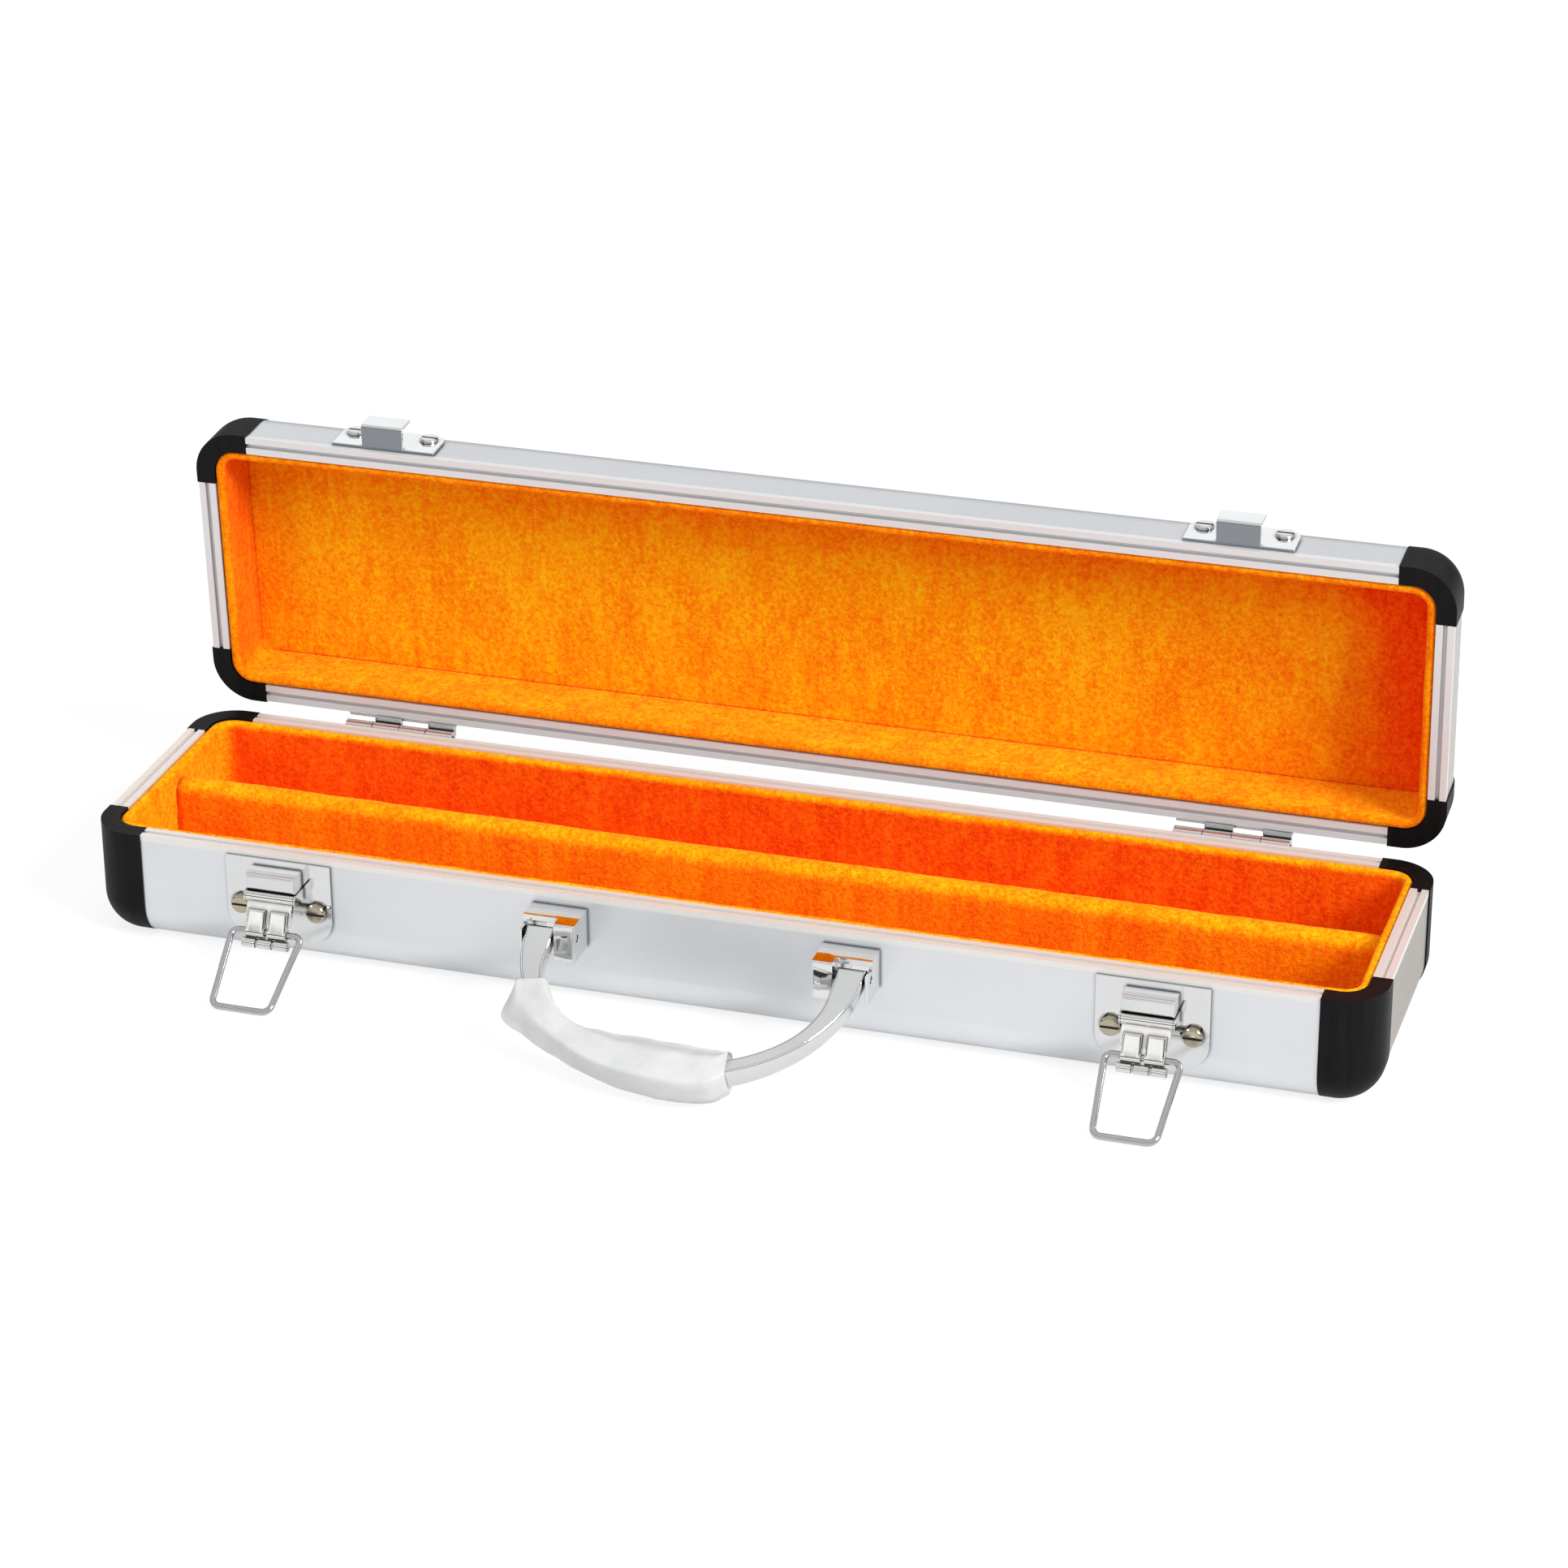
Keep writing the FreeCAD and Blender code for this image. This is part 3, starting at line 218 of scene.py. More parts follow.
def noise_tex(t, vec, scale, detail=3.0, rough=0.55):
    n = node(t, "ShaderNodeTexNoise")
    n.inputs["Scale"].default_value = scale
    n.inputs["Detail"].default_value = detail
    n.inputs["Roughness"].default_value = rough
    t.links.new(vec, n.inputs["Vector"])
    return n.outputs["Fac"]


def ramp(t, fac, stops):
    n = node(t, "ShaderNodeValToRGB")
    r = n.color_ramp
    r.elements[0].position = stops[0][0]
    r.elements[0].color = tuple(stops[0][1]) + (1,)
    r.elements[1].position = stops[-1][0]
    r.elements[1].color = tuple(stops[-1][1]) + (1,)
    for p, c in stops[1:-1]:
        e = r.elements.new(p)
        e.color = tuple(c) + (1,)
    t.links.new(fac, n.inputs[0])
    return n.outputs["Color"]


def to_range(t, fac, a, b, lo, hi):
    n = node(t, "ShaderNodeMapRange")
    n.inputs["From Min"].default_value = a
    n.inputs["From Max"].default_value = b
    n.inputs["To Min"].default_value = lo
    n.inputs["To Max"].default_value = hi
    t.links.new(fac, n.inputs["Value"])
    return n.outputs["Result"]


def bump(t, height, strength, distance, normal=None):
    n = node(t, "ShaderNodeBump")
    n.inputs["Strength"].default_value = strength
    n.inputs["Distance"].default_value = distance
    t.links.new(height, n.inputs["Height"])
    if normal is not None:
        t.links.new(normal, n.inputs["Normal"])
    return n.outputs["Normal"]


def principled(name, base, metallic=0.0, rough=0.4):
    m = bpy.data.materials.new(name)
    t = tree_of(m)
    out = node(t, "ShaderNodeOutputMaterial")
    p = node(t, "ShaderNodeBsdfPrincipled")
    p.inputs["Base Color"].default_value = tuple(base) + (1,)
    p.inputs["Metallic"].default_value = metallic
    p.inputs["Roughness"].default_value = rough
    t.links.new(p.outputs[0], out.inputs["Surface"])
    return m, t, p


def mat_aluminium(name, along, tone, rim=None, end_shade_tone=None):
    """Satin anodised sheet with a very fine drawn grain along one axis, darkened by painted shade in its creases. rim
    gives the plane of the frame's edge,
    as a direction and a distance in metres: that edge is matt and a little creamier, and rim's last value sets how much
    painted crease shade stays there."""
    m, t, p = principled(name, tone, 1.0, 0.42)
    s = (18.0, 1500.0, 1500.0) if along == "x" else (1500.0, 18.0, 1500.0)
    grain = noise_tex(t, coords(t, s), 1.0, 2.0, 0.6)
    cloud = noise_tex(t, coords(t), 26.0, 3.0, 0.5)
    low = tuple(c * 0.955 for c in tone)
    col = ramp(t, cloud, [(0.3, low), (0.7, tone)])
    c = node(t, "ShaderNodeTexCoord")
    if end_shade_tone is not None:
        # painted shade: the outer faces of the two ends get a darker, warmer colour than their rims, standing in for
        # the dim surroundings they reflect
        sep = node(t, "ShaderNodeSeparateXYZ")
        t.links.new(c.outputs["Object"], sep.inputs[0])
        far = node(t, "ShaderNodeMath", operation="ABSOLUTE")
        t.links.new(sep.outputs["X"], far.inputs[0])
        outer = to_range(t, far.outputs[0], 0.1990, 0.2000, 0.0, 1.0)
        mix = node(t, "ShaderNodeMix", data_type="RGBA")
        t.links.new(outer, mix.inputs[0])
        t.links.new(col, mix.inputs[6])
        mix.inputs[7].default_value = tuple(end_shade_tone) + (1,)
        col = mix.outputs[2]
    if rim is not None:
        dot = node(t, "ShaderNodeVectorMath", operation="DOT_PRODUCT")
        t.links.new(c.outputs["Object"], dot.inputs[0])
        dot.inputs[1].default_value = rim[0]
        edge = to_range(t, dot.outputs["Value"], rim[1] - 0.0022, rim[1] - 0.0018, 0.0, 1.0)
        mix = node(t, "ShaderNodeMix", data_type="RGBA")
        t.links.new(edge, mix.inputs[0])
        t.links.new(col, mix.inputs[6])
        mix.inputs[7].default_value = tuple(rim[2]) + (1,)
        col = mix.outputs[2]
        t.links.new(to_range(t, edge, 0.0, 1.0, 1.0, 0.35), p.inputs["Metallic"])
    # painted shade: the base colour is pulled toward blue grey where ambient occlusion finds a crease within 1.5 mm,
    # such as round plates and brackets
    ao = node(t, "ShaderNodeAmbientOcclusion")
    ao.samples = 6
    ao.inputs["Distance"].default_value = 1.5 * MM
    painted_crease_shade = node(t, "ShaderNodeMix", data_type="RGBA")
    painted_crease_shade.blend_type = "MULTIPLY"
    painted_crease_shade.inputs[0].default_value = 1.0
    if rim is not None:
        t.links.new(to_range(t, edge, 0.0, 1.0, 1.0, rim[3]), painted_crease_shade.inputs[0])
    t.links.new(col, painted_crease_shade.inputs[6])
    t.links.new(ramp(t, ao.outputs["AO"], [(0.50, (0.46, 0.47, 0.50)), (0.90, (1.0, 1.0, 1.0))]), painted_crease_shade.inputs[7])
    t.links.new(painted_crease_shade.outputs[2], p.inputs["Base Color"])
    t.links.new(to_range(t, grain, 0.3, 0.7, 0.36, 0.46), p.inputs["Roughness"])
    t.links.new(bump(t, grain, 0.10, 0.00002), p.inputs["Normal"])
    return m


def mat_plastic():
    """Black moulded corner: fine grained skin with a soft shine."""
    m, t, p = principled("corner_black", (0.006, 0.006, 0.0065), 0.0, 0.5)
    v = coords(t)
    fine = noise_tex(t, v, 2600.0, 2.0, 0.6)
    streak = noise_tex(t, coords(t, (420.0, 420.0, 30.0)), 1.0, 2.0, 0.5)
    t.links.new(ramp(t, streak, [(0.35, (0.0030, 0.0030, 0.0033)), (0.7, (0.0060, 0.0060, 0.0064))]), p.inputs["Base Color"])
    t.links.new(to_range(t, fine, 0.3, 0.7, 0.40, 0.56), p.inputs["Roughness"])
    p.inputs["Specular IOR Level"].default_value = 0.13
    t.links.new(bump(t, fine, 0.25, 0.00004), p.inputs["Normal"])
    return m


def mat_plush(name):
    """Short dense pile with painted light and shade: a per-vertex attribute picks between a shaded deep red tone at 0
    and a lit bright orange tone at 1."""
    m, t, p = principled(name, (0.95, 0.25, 0.005), 0.0, 0.95)
    v = coords(t)
    tuft = noise_tex(t, v, 620.0, 3.0, 0.75)
    fine = noise_tex(t, v, 1700.0, 2.0, 0.6)
    patch = noise_tex(t, coords(t, (1.0, 1.0, 0.55)), 75.0, 3.0, 0.6)
    streak = noise_tex(t, coords(t, (260.0, 260.0, 45.0)), 1.0, 2.0, 0.6)

    def plus(a, b, k):
        n = node(t, "ShaderNodeMath", operation="MULTIPLY_ADD")
        t.links.new(b, n.inputs[0])
        n.inputs[1].default_value = k
        if a is None:
            n.inputs[2].default_value = 0.0
        else:
            t.links.new(a, n.inputs[2])
        return n.outputs[0]

    total = plus(plus(plus(plus(None, tuft, 0.46), fine, 0.22), patch, 0.17), streak, 0.15)
    # painted light and shade: the first ramp is the lit tone, the second the shaded tone, mixed by each vertex's
    # painted light share
    high = ramp(t, total, [(0.40, (0.93, 0.175, 0.001)), (0.50, (0.985, 0.345, 0.002)), (0.60, (1.0, 0.56, 0.006))])
    shaded_tone = ramp(t, total, [(0.40, (0.80, 0.022, 0.0008)), (0.50, (0.95, 0.066, 0.0015)), (0.60, (1.0, 0.130, 0.003))])
    lit_share = node(t, "ShaderNodeAttribute")
    lit_share.attribute_type = "GEOMETRY"
    lit_share.attribute_name = "lit_share"
    mix = node(t, "ShaderNodeMix", data_type="RGBA")
    t.links.new(lit_share.outputs["Fac"], mix.inputs[0])
    t.links.new(shaded_tone, mix.inputs[6])
    t.links.new(high, mix.inputs[7])
    t.links.new(mix.outputs[2], p.inputs["Base Color"])
    p.inputs["Sheen Weight"].default_value = 0.30
    p.inputs["Sheen Roughness"].default_value = 0.45
    p.inputs["Sheen Tint"].default_value = (1.0, 0.50, 0.06, 1)
    p.inputs["Specular IOR Level"].default_value = 0.05
    t.links.new(bump(t, total, 1.0, 0.0011), p.inputs["Normal"])
    return m


def mat_chrome(name, base, rough=(0.05, 0.12), wave=0.15, scale=160.0, crease_shade_reach=0.0):
    """Plated metal: faint waves from pressing and polishing, and painted shade darkening its creases."""
    m, t, p = principled(name, base, 1.0, 0.08)
    v = coords(t)
    n1 = noise_tex(t, v, scale, 3.0, 0.5)
    n2 = noise_tex(t, v, 1800.0, 2.0, 0.6)
    b = tuple(x * 0.94 for x in base)
    col = ramp(t, n1, [(0.3, b), (0.7, base)])
    # painted shade: where ambient occlusion finds a crease within the given reach in mm, the colour is pushed toward
    # near-black
    if crease_shade_reach > 0:
        ao = node(t, "ShaderNodeAmbientOcclusion")
        ao.samples = 6
        ao.inputs["Distance"].default_value = crease_shade_reach * MM
        mix = node(t, "ShaderNodeMix", data_type="RGBA")
        t.links.new(to_range(t, ao.outputs["AO"], 0.45, 0.92, 0.0, 1.0), mix.inputs[0])
        mix.inputs[6].default_value = (0.05, 0.048, 0.045, 1)
        t.links.new(col, mix.inputs[7])
        col = mix.outputs[2]
    t.links.new(col, p.inputs["Base Color"])
    t.links.new(to_range(t, n2, 0.3, 0.7, rough[0], rough[1]), p.inputs["Roughness"])
    t.links.new(bump(t, n1, wave, 0.0002), p.inputs["Normal"])
    return m


def mat_catch():
    """Plated catch: polished plate, and a standing web whose face is painted dark blue grey as a painted reflection of
    dark surroundings.
    """
    m = mat_chrome("catch_chrome", (0.80, 0.81, 0.815), (0.03, 0.06), 0.12, 90.0, 1.5)
    t = m.node_tree
    p = [n for n in t.nodes if n.type == "BSDF_PRINCIPLED"][0]
    old = p.inputs["Base Color"].links[0].from_socket
    # painted reflection: faces turned along the lid's up direction, the standing web, are coloured dark blue grey
    c = node(t, "ShaderNodeTexCoord")
    dot = node(t, "ShaderNodeVectorMath", operation="DOT_PRODUCT")
    t.links.new(c.outputs["Normal"], dot.inputs[0])
    dot.inputs[1].default_value = tuple(lid_up)
    mix = node(t, "ShaderNodeMix", data_type="RGBA")
    t.links.new(to_range(t, dot.outputs["Value"], 0.80, 0.95, 0.0, 1.0), mix.inputs[0])
    t.links.new(old, mix.inputs[6])
    mix.inputs[7].default_value = (0.27, 0.285, 0.31, 1)
    t.links.new(mix.outputs[2], p.inputs["Base Color"])
    return m


def mat_film():
    """Thin milky wrapping film."""
    m, t, p = principled("wrap_film", (0.86, 0.87, 0.87), 0.0, 0.35)
    n1 = noise_tex(t, coords(t), 60.0, 3.0, 0.5)
    n2 = noise_tex(t, coords(t, (0.5, 1.4, 1.4)), 150.0, 2.0, 0.5)
    t.links.new(ramp(t, n1, [(0.3, (0.80, 0.81, 0.805)), (0.7, (0.87, 0.878, 0.87))]), p.inputs["Base Color"])
    t.links.new(to_range(t, n1, 0.32, 0.68, 0.70, 0.93), p.inputs["Alpha"])
    p.inputs["Specular IOR Level"].default_value = 0.35
    t.links.new(bump(t, n2, 0.75, 0.0009), p.inputs["Normal"])
    out = [n for n in t.nodes if n.type == "OUTPUT_MATERIAL"][0]
    thin = node(t, "ShaderNodeBsdfTranslucent")
    thin.inputs["Color"].default_value = (0.97, 0.98, 0.975, 1)
    mix = node(t, "ShaderNodeMixShader")
    mix.inputs[0].default_value = 0.34
    t.links.new(p.outputs[0], mix.inputs[1])
    t.links.new(thin.outputs[0], mix.inputs[2])
    t.links.new(mix.outputs[0], out.inputs["Surface"])
    return m


def lid_matrix():
    """From the lid's own frame (outer face at z = 0, rim up) to its place when open, in mm."""
    flip = Matrix.Translation((0, 0, LID_TOP)) @ Matrix.Rotation(math.pi, 4, "X")
    turn = (Matrix.Translation((0, HINGE_Y, HINGE_Z)) @ Matrix.Rotation(-math.radians(OPEN_ANGLE), 4, "X")
            @ Matrix.Translation((0, -HINGE_Y, -HINGE_Z)))
    return turn @ flip


LID = lid_matrix()
lid_up = (LID.to_3x3() @ Vector((0, 0, 1))).normalized()
BASE_RIM = ((0.0, 0.0, 1.0), BASE_H * MM, (0.79, 0.77, 0.735), 0.10)
LID_RIM = (tuple(lid_up), lid_up.dot(LID @ Vector((0, 0, LID_H))) * MM, (0.74, 0.745, 0.75), 0.65)

M = {
    "alu_x": mat_aluminium("aluminium_long_base", "x", (0.84, 0.86, 0.885), BASE_RIM),
    # the last colour on each end frame is painted shade for its outer faces, darker on the base than on the lid
    "alu_y": mat_aluminium("aluminium_end_base", "y", (0.78, 0.78, 0.78), BASE_RIM, (0.50, 0.465, 0.43)),
    "alu_lid_x": mat_aluminium("aluminium_long_lid", "x", (0.84, 0.86, 0.885), LID_RIM),
    "alu_lid_y": mat_aluminium("aluminium_end_lid", "y", (0.78, 0.78, 0.78), LID_RIM, (0.66, 0.63, 0.60)),
    "black": mat_plastic(),
    "plush": mat_plush("plush_orange"),
    "plate": mat_chrome("latch_plate_chrome", (0.80, 0.81, 0.815), (0.02, 0.05), 0.12, 90.0, 1.3),
    "lever": mat_chrome("latch_lever_chrome", (0.84, 0.83, 0.80), (0.05, 0.10), 0.15, 200.0, 1.4),
    "wire": mat_chrome("bail_wire_chrome", (0.56, 0.56, 0.57), (0.03, 0.07), 0.05, 300.0, 0.0),
    "handle": mat_chrome("handle_chrome", (0.80, 0.815, 0.81), (0.02, 0.05), 0.08, 60.0, 0.8),
    "bracket": mat_chrome("bracket_chrome", (0.84, 0.845, 0.845), (0.03, 0.06), 0.15, 140.0, 1.6),
    "catch": mat_catch(),
    "steel": mat_chrome("plated_steel", (0.76, 0.76, 0.77), (0.12, 0.22), 0.15, 200.0, 1.0),
    "brass": mat_chrome("screw_brass", (0.52, 0.46, 0.36), (0.10, 0.20), 0.2, 400.0, 1.2),
    "film": mat_film(),
}

# ================================================================ CAD nodes that stay, with their own finish
FINISH = {}
for n in nodes:
    if "_frame_left" in n or "_frame_right" in n:
        FINISH[n] = "alu_y" if n.startswith("base") else "alu_lid_y"
    elif "_frame_" in n or n in ("base_bottom_panel", "lid_top_panel"):
        FINISH[n] = "alu_x" if n.startswith("base") else "alu_lid_x"
    elif "_corner_" in n:
        FINISH[n] = "black"
    elif "_lining_" in n or n == "base_divider":
        FINISH[n] = "plush"
    elif n.startswith("hinge_"):
        FINISH[n] = "steel"
    elif n.startswith("lid_catch") and "screws" not in n:
        FINISH[n] = "catch"
    elif n.startswith("latch_plate"):
        FINISH[n] = "plate"
    elif n.startswith("latch_lever"):
        FINISH[n] = "lever"
    elif n.startswith("latch_bail"):
        FINISH[n] = "wire"
    elif n.endswith("_screws"):
        FINISH[n] = "brass"
    elif n.startswith("latch_pin") or n == "handle_pins":
        FINISH[n] = "steel"
    elif n.startswith("handle_bracket"):
        FINISH[n] = "bracket"
    elif n == "handle_strap":
        FINISH[n] = "handle"
    elif n == "handle_film_sleeve":
        FINISH[n] = "film"
for n, key in FINISH.items():
    me = nodes[n].data
    if not me.materials:
        me.materials.append(M[key])
    for i in range(len(me.materials)):
        me.materials[i] = M[key]
missing = [n for n in nodes if n not in FINISH]
if missing:
    raise RuntimeError("no finish for " + ", ".join(missing))

# ================================================================ building blocks for the pieces
def new_object(name, verts, faces, mat, matrix=None, smooth=True, lit_share=None):
    """A mesh object from points in mm, with its per-vertex share of painted light and shade where it has one."""
    pts = np.array([tuple(v) for v in verts], float)
    if matrix is not None:
        m = np.array(matrix)
        pts = pts @ m[:3, :3].T + m[:3, 3]
    me = bpy.data.meshes.new(name)
    me.from_pydata((pts * MM).tolist(), [], faces)
    me.validate()
    me.update()
    if smooth:
        for poly in me.polygons:
            poly.use_smooth = True
    me.materials.append(mat)
    if lit_share is not None:
        layer = me.attributes.new("lit_share", "FLOAT", "POINT")
        layer.data.foreach_set("value", [float(min(1.0, max(0.0, v))) for v in lit_share])
    o = bpy.data.objects.new(name, me)
    scene.collection.objects.link(o)
    return o


def recalc(o):
    bm = bmesh.new()
    bm.from_mesh(o.data)
    bmesh.ops.recalc_face_normals(bm, faces=bm.faces[:])
    bm.to_mesh(o.data)
    bm.free()


def rough_field(p, size, seed=0.0):
    """Smooth noise from -1 to 1 at a point in mm, with features of about that size."""
    return noise.noise(Vector((p[0] / size + seed, p[1] / size - seed * 0.7, p[2] / size + seed * 1.3)))


def ring_samples(step):
    """Round the box's inside: corner centre and outward direction of each sample."""
    cx, cy = HALF_L - 14.0, HALF_W - 14.0
    out = []
    turns = [((cx, -cy), (cx, cy), 0.0), ((cx, cy), (-cx, cy), 90.0), ((-cx, cy), (-cx, -cy), 180.0), ((-cx, -cy), (cx, -cy), 270.0)]
    for a, b, ang in turns:
        length = math.hypot(b[0] - a[0], b[1] - a[1])
        n = max(2, int(round(length / step)))
        d = (math.cos(math.radians(ang)), math.sin(math.radians(ang)))
        for i in range(n):
            f = i / n
            out.append((a[0] + (b[0] - a[0]) * f, a[1] + (b[1] - a[1]) * f, d[0], d[1]))
        for i in range(8):
            t = math.radians(ang + 90.0 * i / 8.0)
            out.append((b[0], b[1], math.cos(t), math.sin(t)))
    return out


def liner(name, height, matrix, seed, light_map):
    """The plush band that lines the walls: one closed strip round the inside with a soft rolled top edge.
    The last argument gives painted light and shade on the walls at +x, -x, +y, -y and on the top edge, from 0 shaded to
    1 lit."""
    top = height - 0.25
    prof = [(6.1, 4.4), (6.1, 10.0), (6.1, top - 2.0), (6.15, top - 1.0), (6.55, top - 0.3), (7.3, top), (8.1, top - 0.1), (8.75, top - 0.6), (9.05, top - 1.4)]
    z = top - 2.6
    while z > 5.6:
        prof.append((9.05, z))
        z -= 1.3
    prof += [(9.0, 4.9), (8.6, 4.4), (7.4, 4.3)]
    ring = ring_samples(1.6)
    verts, faces, lit_share = [], [], []
    n, k = len(ring), len(prof)
    for cx, cy, nx, ny in ring:
        for j, (d, zz) in enumerate(prof):
            base = (cx + nx * (14.0 - d), cy + ny * (14.0 - d), zz)
            inner = 1.0 if 4 < j < k - 3 else 0.0
            push = inner * (0.16 * rough_field(base, 3.2, seed) + 0.28 * rough_field(base, 19.0, seed + 5.0) + 0.05)
            lift = inner * (0.22 * rough_field(base, 7.0, seed + 9.0) if zz > top - 1.5 else 0.0)
            r = 14.0 - d - push
            verts.append((cx + nx * r, cy + ny * r, zz + lift))
            # painted light and shade: each wall takes its own share by the way it faces, blending to the top edge's
            # share
            side = (light_map[0] if nx > 0 else light_map[1]) * nx * nx + (light_map[2] if ny > 0 else light_map[3]) * ny * ny
            up = min(1.0, max(0.0, (zz - top + 2.4) / 1.8))
            lit_share.append(side + (light_map[4] - side) * up)
    for i in range(n):
        for j in range(k):
            a, b = i * k + j, i * k + (j + 1) % k
            c, d = ((i + 1) % n) * k + (j + 1) % k, ((i + 1) % n) * k + j
            faces.append((a, d, c, b))
    o = new_object(name, verts, faces, M["plush"], matrix, lit_share=lit_share)
    recalc(o)
    return o


def pad_board(name, half_x, half_y, corner, low, high, crown, matrix, seed, light_map, step=2.0):
    """A covered board: rounded corners, a rolled edge and a faint crown, as one closed solid."""
    nx, ny = int(2 * half_x / step), int(2 * half_y / step)

    def squeeze(u, v):
        """Grid point to a rounded rectangle."""
        x, y = u * half_x, v * half_y
        ix, iy = half_x - corner, half_y - corner
        if abs(x) > ix and abs(y) > iy:
            dx, dy = abs(x) - ix, abs(y) - iy
            m = max(dx, dy)
            d = math.hypot(dx, dy)
            s = m / d if d > 1e-9 else 1.0
            x, y = math.copysign(ix + dx * s, x), math.copysign(iy + dy * s, y)
        return x, y

    verts, faces, lit_share = [], [], []

    def edge_drop(x, y):
        ix, iy = half_x - corner, half_y - corner
        if abs(x) > ix and abs(y) > iy:
            d = corner - math.hypot(abs(x) - ix, abs(y) - iy)
        else:
            d = min(half_x - abs(x), half_y - abs(y))
        d = max(0.0, d)
        r = 0.9
        return 0.0 if d >= r else r - math.sqrt(max(0.0, r * r - (r - d) ** 2))

    us = [-1 + 2 * i / nx for i in range(nx + 1)]
    vs = [-1 + 2 * j / ny for j in range(ny + 1)]
    for extra, arr in ((half_x, us), (half_y, vs)):
        for d in (0.25, 0.6, 1.1):
            arr.extend([-1 + d / extra, 1 - d / extra])
        arr.sort()
    for side in (1, 0):
        for u in us:
            for v in vs:
                x, y = squeeze(u, v)
                if side:
                    bow = crown * (1 - u ** 4) * (1 - v ** 4)
                    z = high + bow - edge_drop(x, y) + 0.10 * rough_field((x, y, 0), 3.0, seed) + 0.22 * rough_field((x, y, 0), 24.0, seed + 3.0)
                else:
                    z = low
                verts.append((x, y, z))
                # painted light and shade for each vertex, from the given map with a little random variation
                lit_share.append(light_map(x, y) + 0.10 * rough_field((x, y, 0), 30.0, seed + 7.0))
    a, b = len(us), len(vs)

    def vid(side, i, j):
        return (0 if side else a * b) + i * b + j

    for i in range(a - 1):
        for j in range(b - 1):
            faces.append((vid(1, i, j), vid(1, i + 1, j), vid(1, i + 1, j + 1), vid(1, i, j + 1)))
            faces.append((vid(0, i, j), vid(0, i, j + 1), vid(0, i + 1, j + 1), vid(0, i + 1, j)))
    for i in range(a - 1):
        faces.append((vid(1, i, 0), vid(0, i, 0), vid(0, i + 1, 0), vid(1, i + 1, 0)))
        faces.append((vid(1, i, b - 1), vid(1, i + 1, b - 1), vid(0, i + 1, b - 1), vid(0, i, b - 1)))
    for j in range(b - 1):
        faces.append((vid(1, 0, j), vid(1, 0, j + 1), vid(0, 0, j + 1), vid(0, 0, j)))
        faces.append((vid(1, a - 1, j), vid(0, a - 1, j), vid(0, a - 1, j + 1), vid(1, a - 1, j + 1)))
    o = new_object(name, verts, faces, M["plush"], matrix, lit_share=lit_share)
    recalc(o)
    return o


def divider():
    """The long padded bar between the two compartments: a covered strip, fuller in the middle, with a slightly uneven
    top.
    """
    half_x, yc, half_y, low, high, r = 205.75, 3.5, 4.95, 4.3, 34.9, 4.6
    step = 2.2
    prof = []
    for z in np.arange(low, high - r, 1.6):
        prof.append((half_y, z))
    for a in np.linspace(0, 90, 7)[:-1]:
        t = math.radians(a)
        prof.append((half_y - r + r * math.cos(t), high - r + r * math.sin(t)))
    prof.append((0.0, high))
    left = [(-y, z) for y, z in reversed(prof[:-1])]
    outline = prof + left
    xs = list(np.linspace(-half_x, half_x, int(2 * half_x / step)))
    verts, faces, lit_share = [], [], []
    k = len(outline)
    for x in xs:
        end = min(1.0, (half_x - abs(x)) / 2.2)
        for y, z in outline:
            f = (z - low) / (high - low)
            swell = 1.0 + 0.05 * math.sin(math.pi * min(1.0, f)) * end
            yy = yc + y * swell * (0.94 + 0.06 * end)
            sway = 0.35 * rough_field((x, 0, 0), 60.0, 2.0) * f
            zz = z + f * (0.28 * rough_field((x, y, 0), 16.0, 7.0) + 0.12 * rough_field((x, y, z), 4.0, 1.0) - 0.25 * (1 - end))
            yy += sway + 0.14 * rough_field((x, y * 2, z), 5.0, 11.0) + 0.25 * rough_field((x, y, z), 22.0, 4.0)
            verts.append((x, yy, zz))
            # painted light: the rounded top of the bar gets the lit tone, its sides about half
            lit_top = min(1.0, max(0.0, (z - (high - 3.6)) / 2.6))
            lit_share.append(0.50 + 0.50 * lit_top + 0.12 * rough_field((x, y, z), 26.0, 9.0))
    for i in range(len(xs) - 1):
        for j in range(k - 1):
            faces.append((i * k + j, (i + 1) * k + j, (i + 1) * k + j + 1, i * k + j + 1))
        faces.append((i * k + k - 1, (i + 1) * k + k - 1, (i + 1) * k, i * k))
    faces.append(tuple(range(k - 1, -1, -1)))
    faces.append(tuple((len(xs) - 1) * k + j for j in range(k)))
    o = new_object("base_divider_pad", verts, faces, M["plush"], lit_share=lit_share)
    recalc(o)
    return o


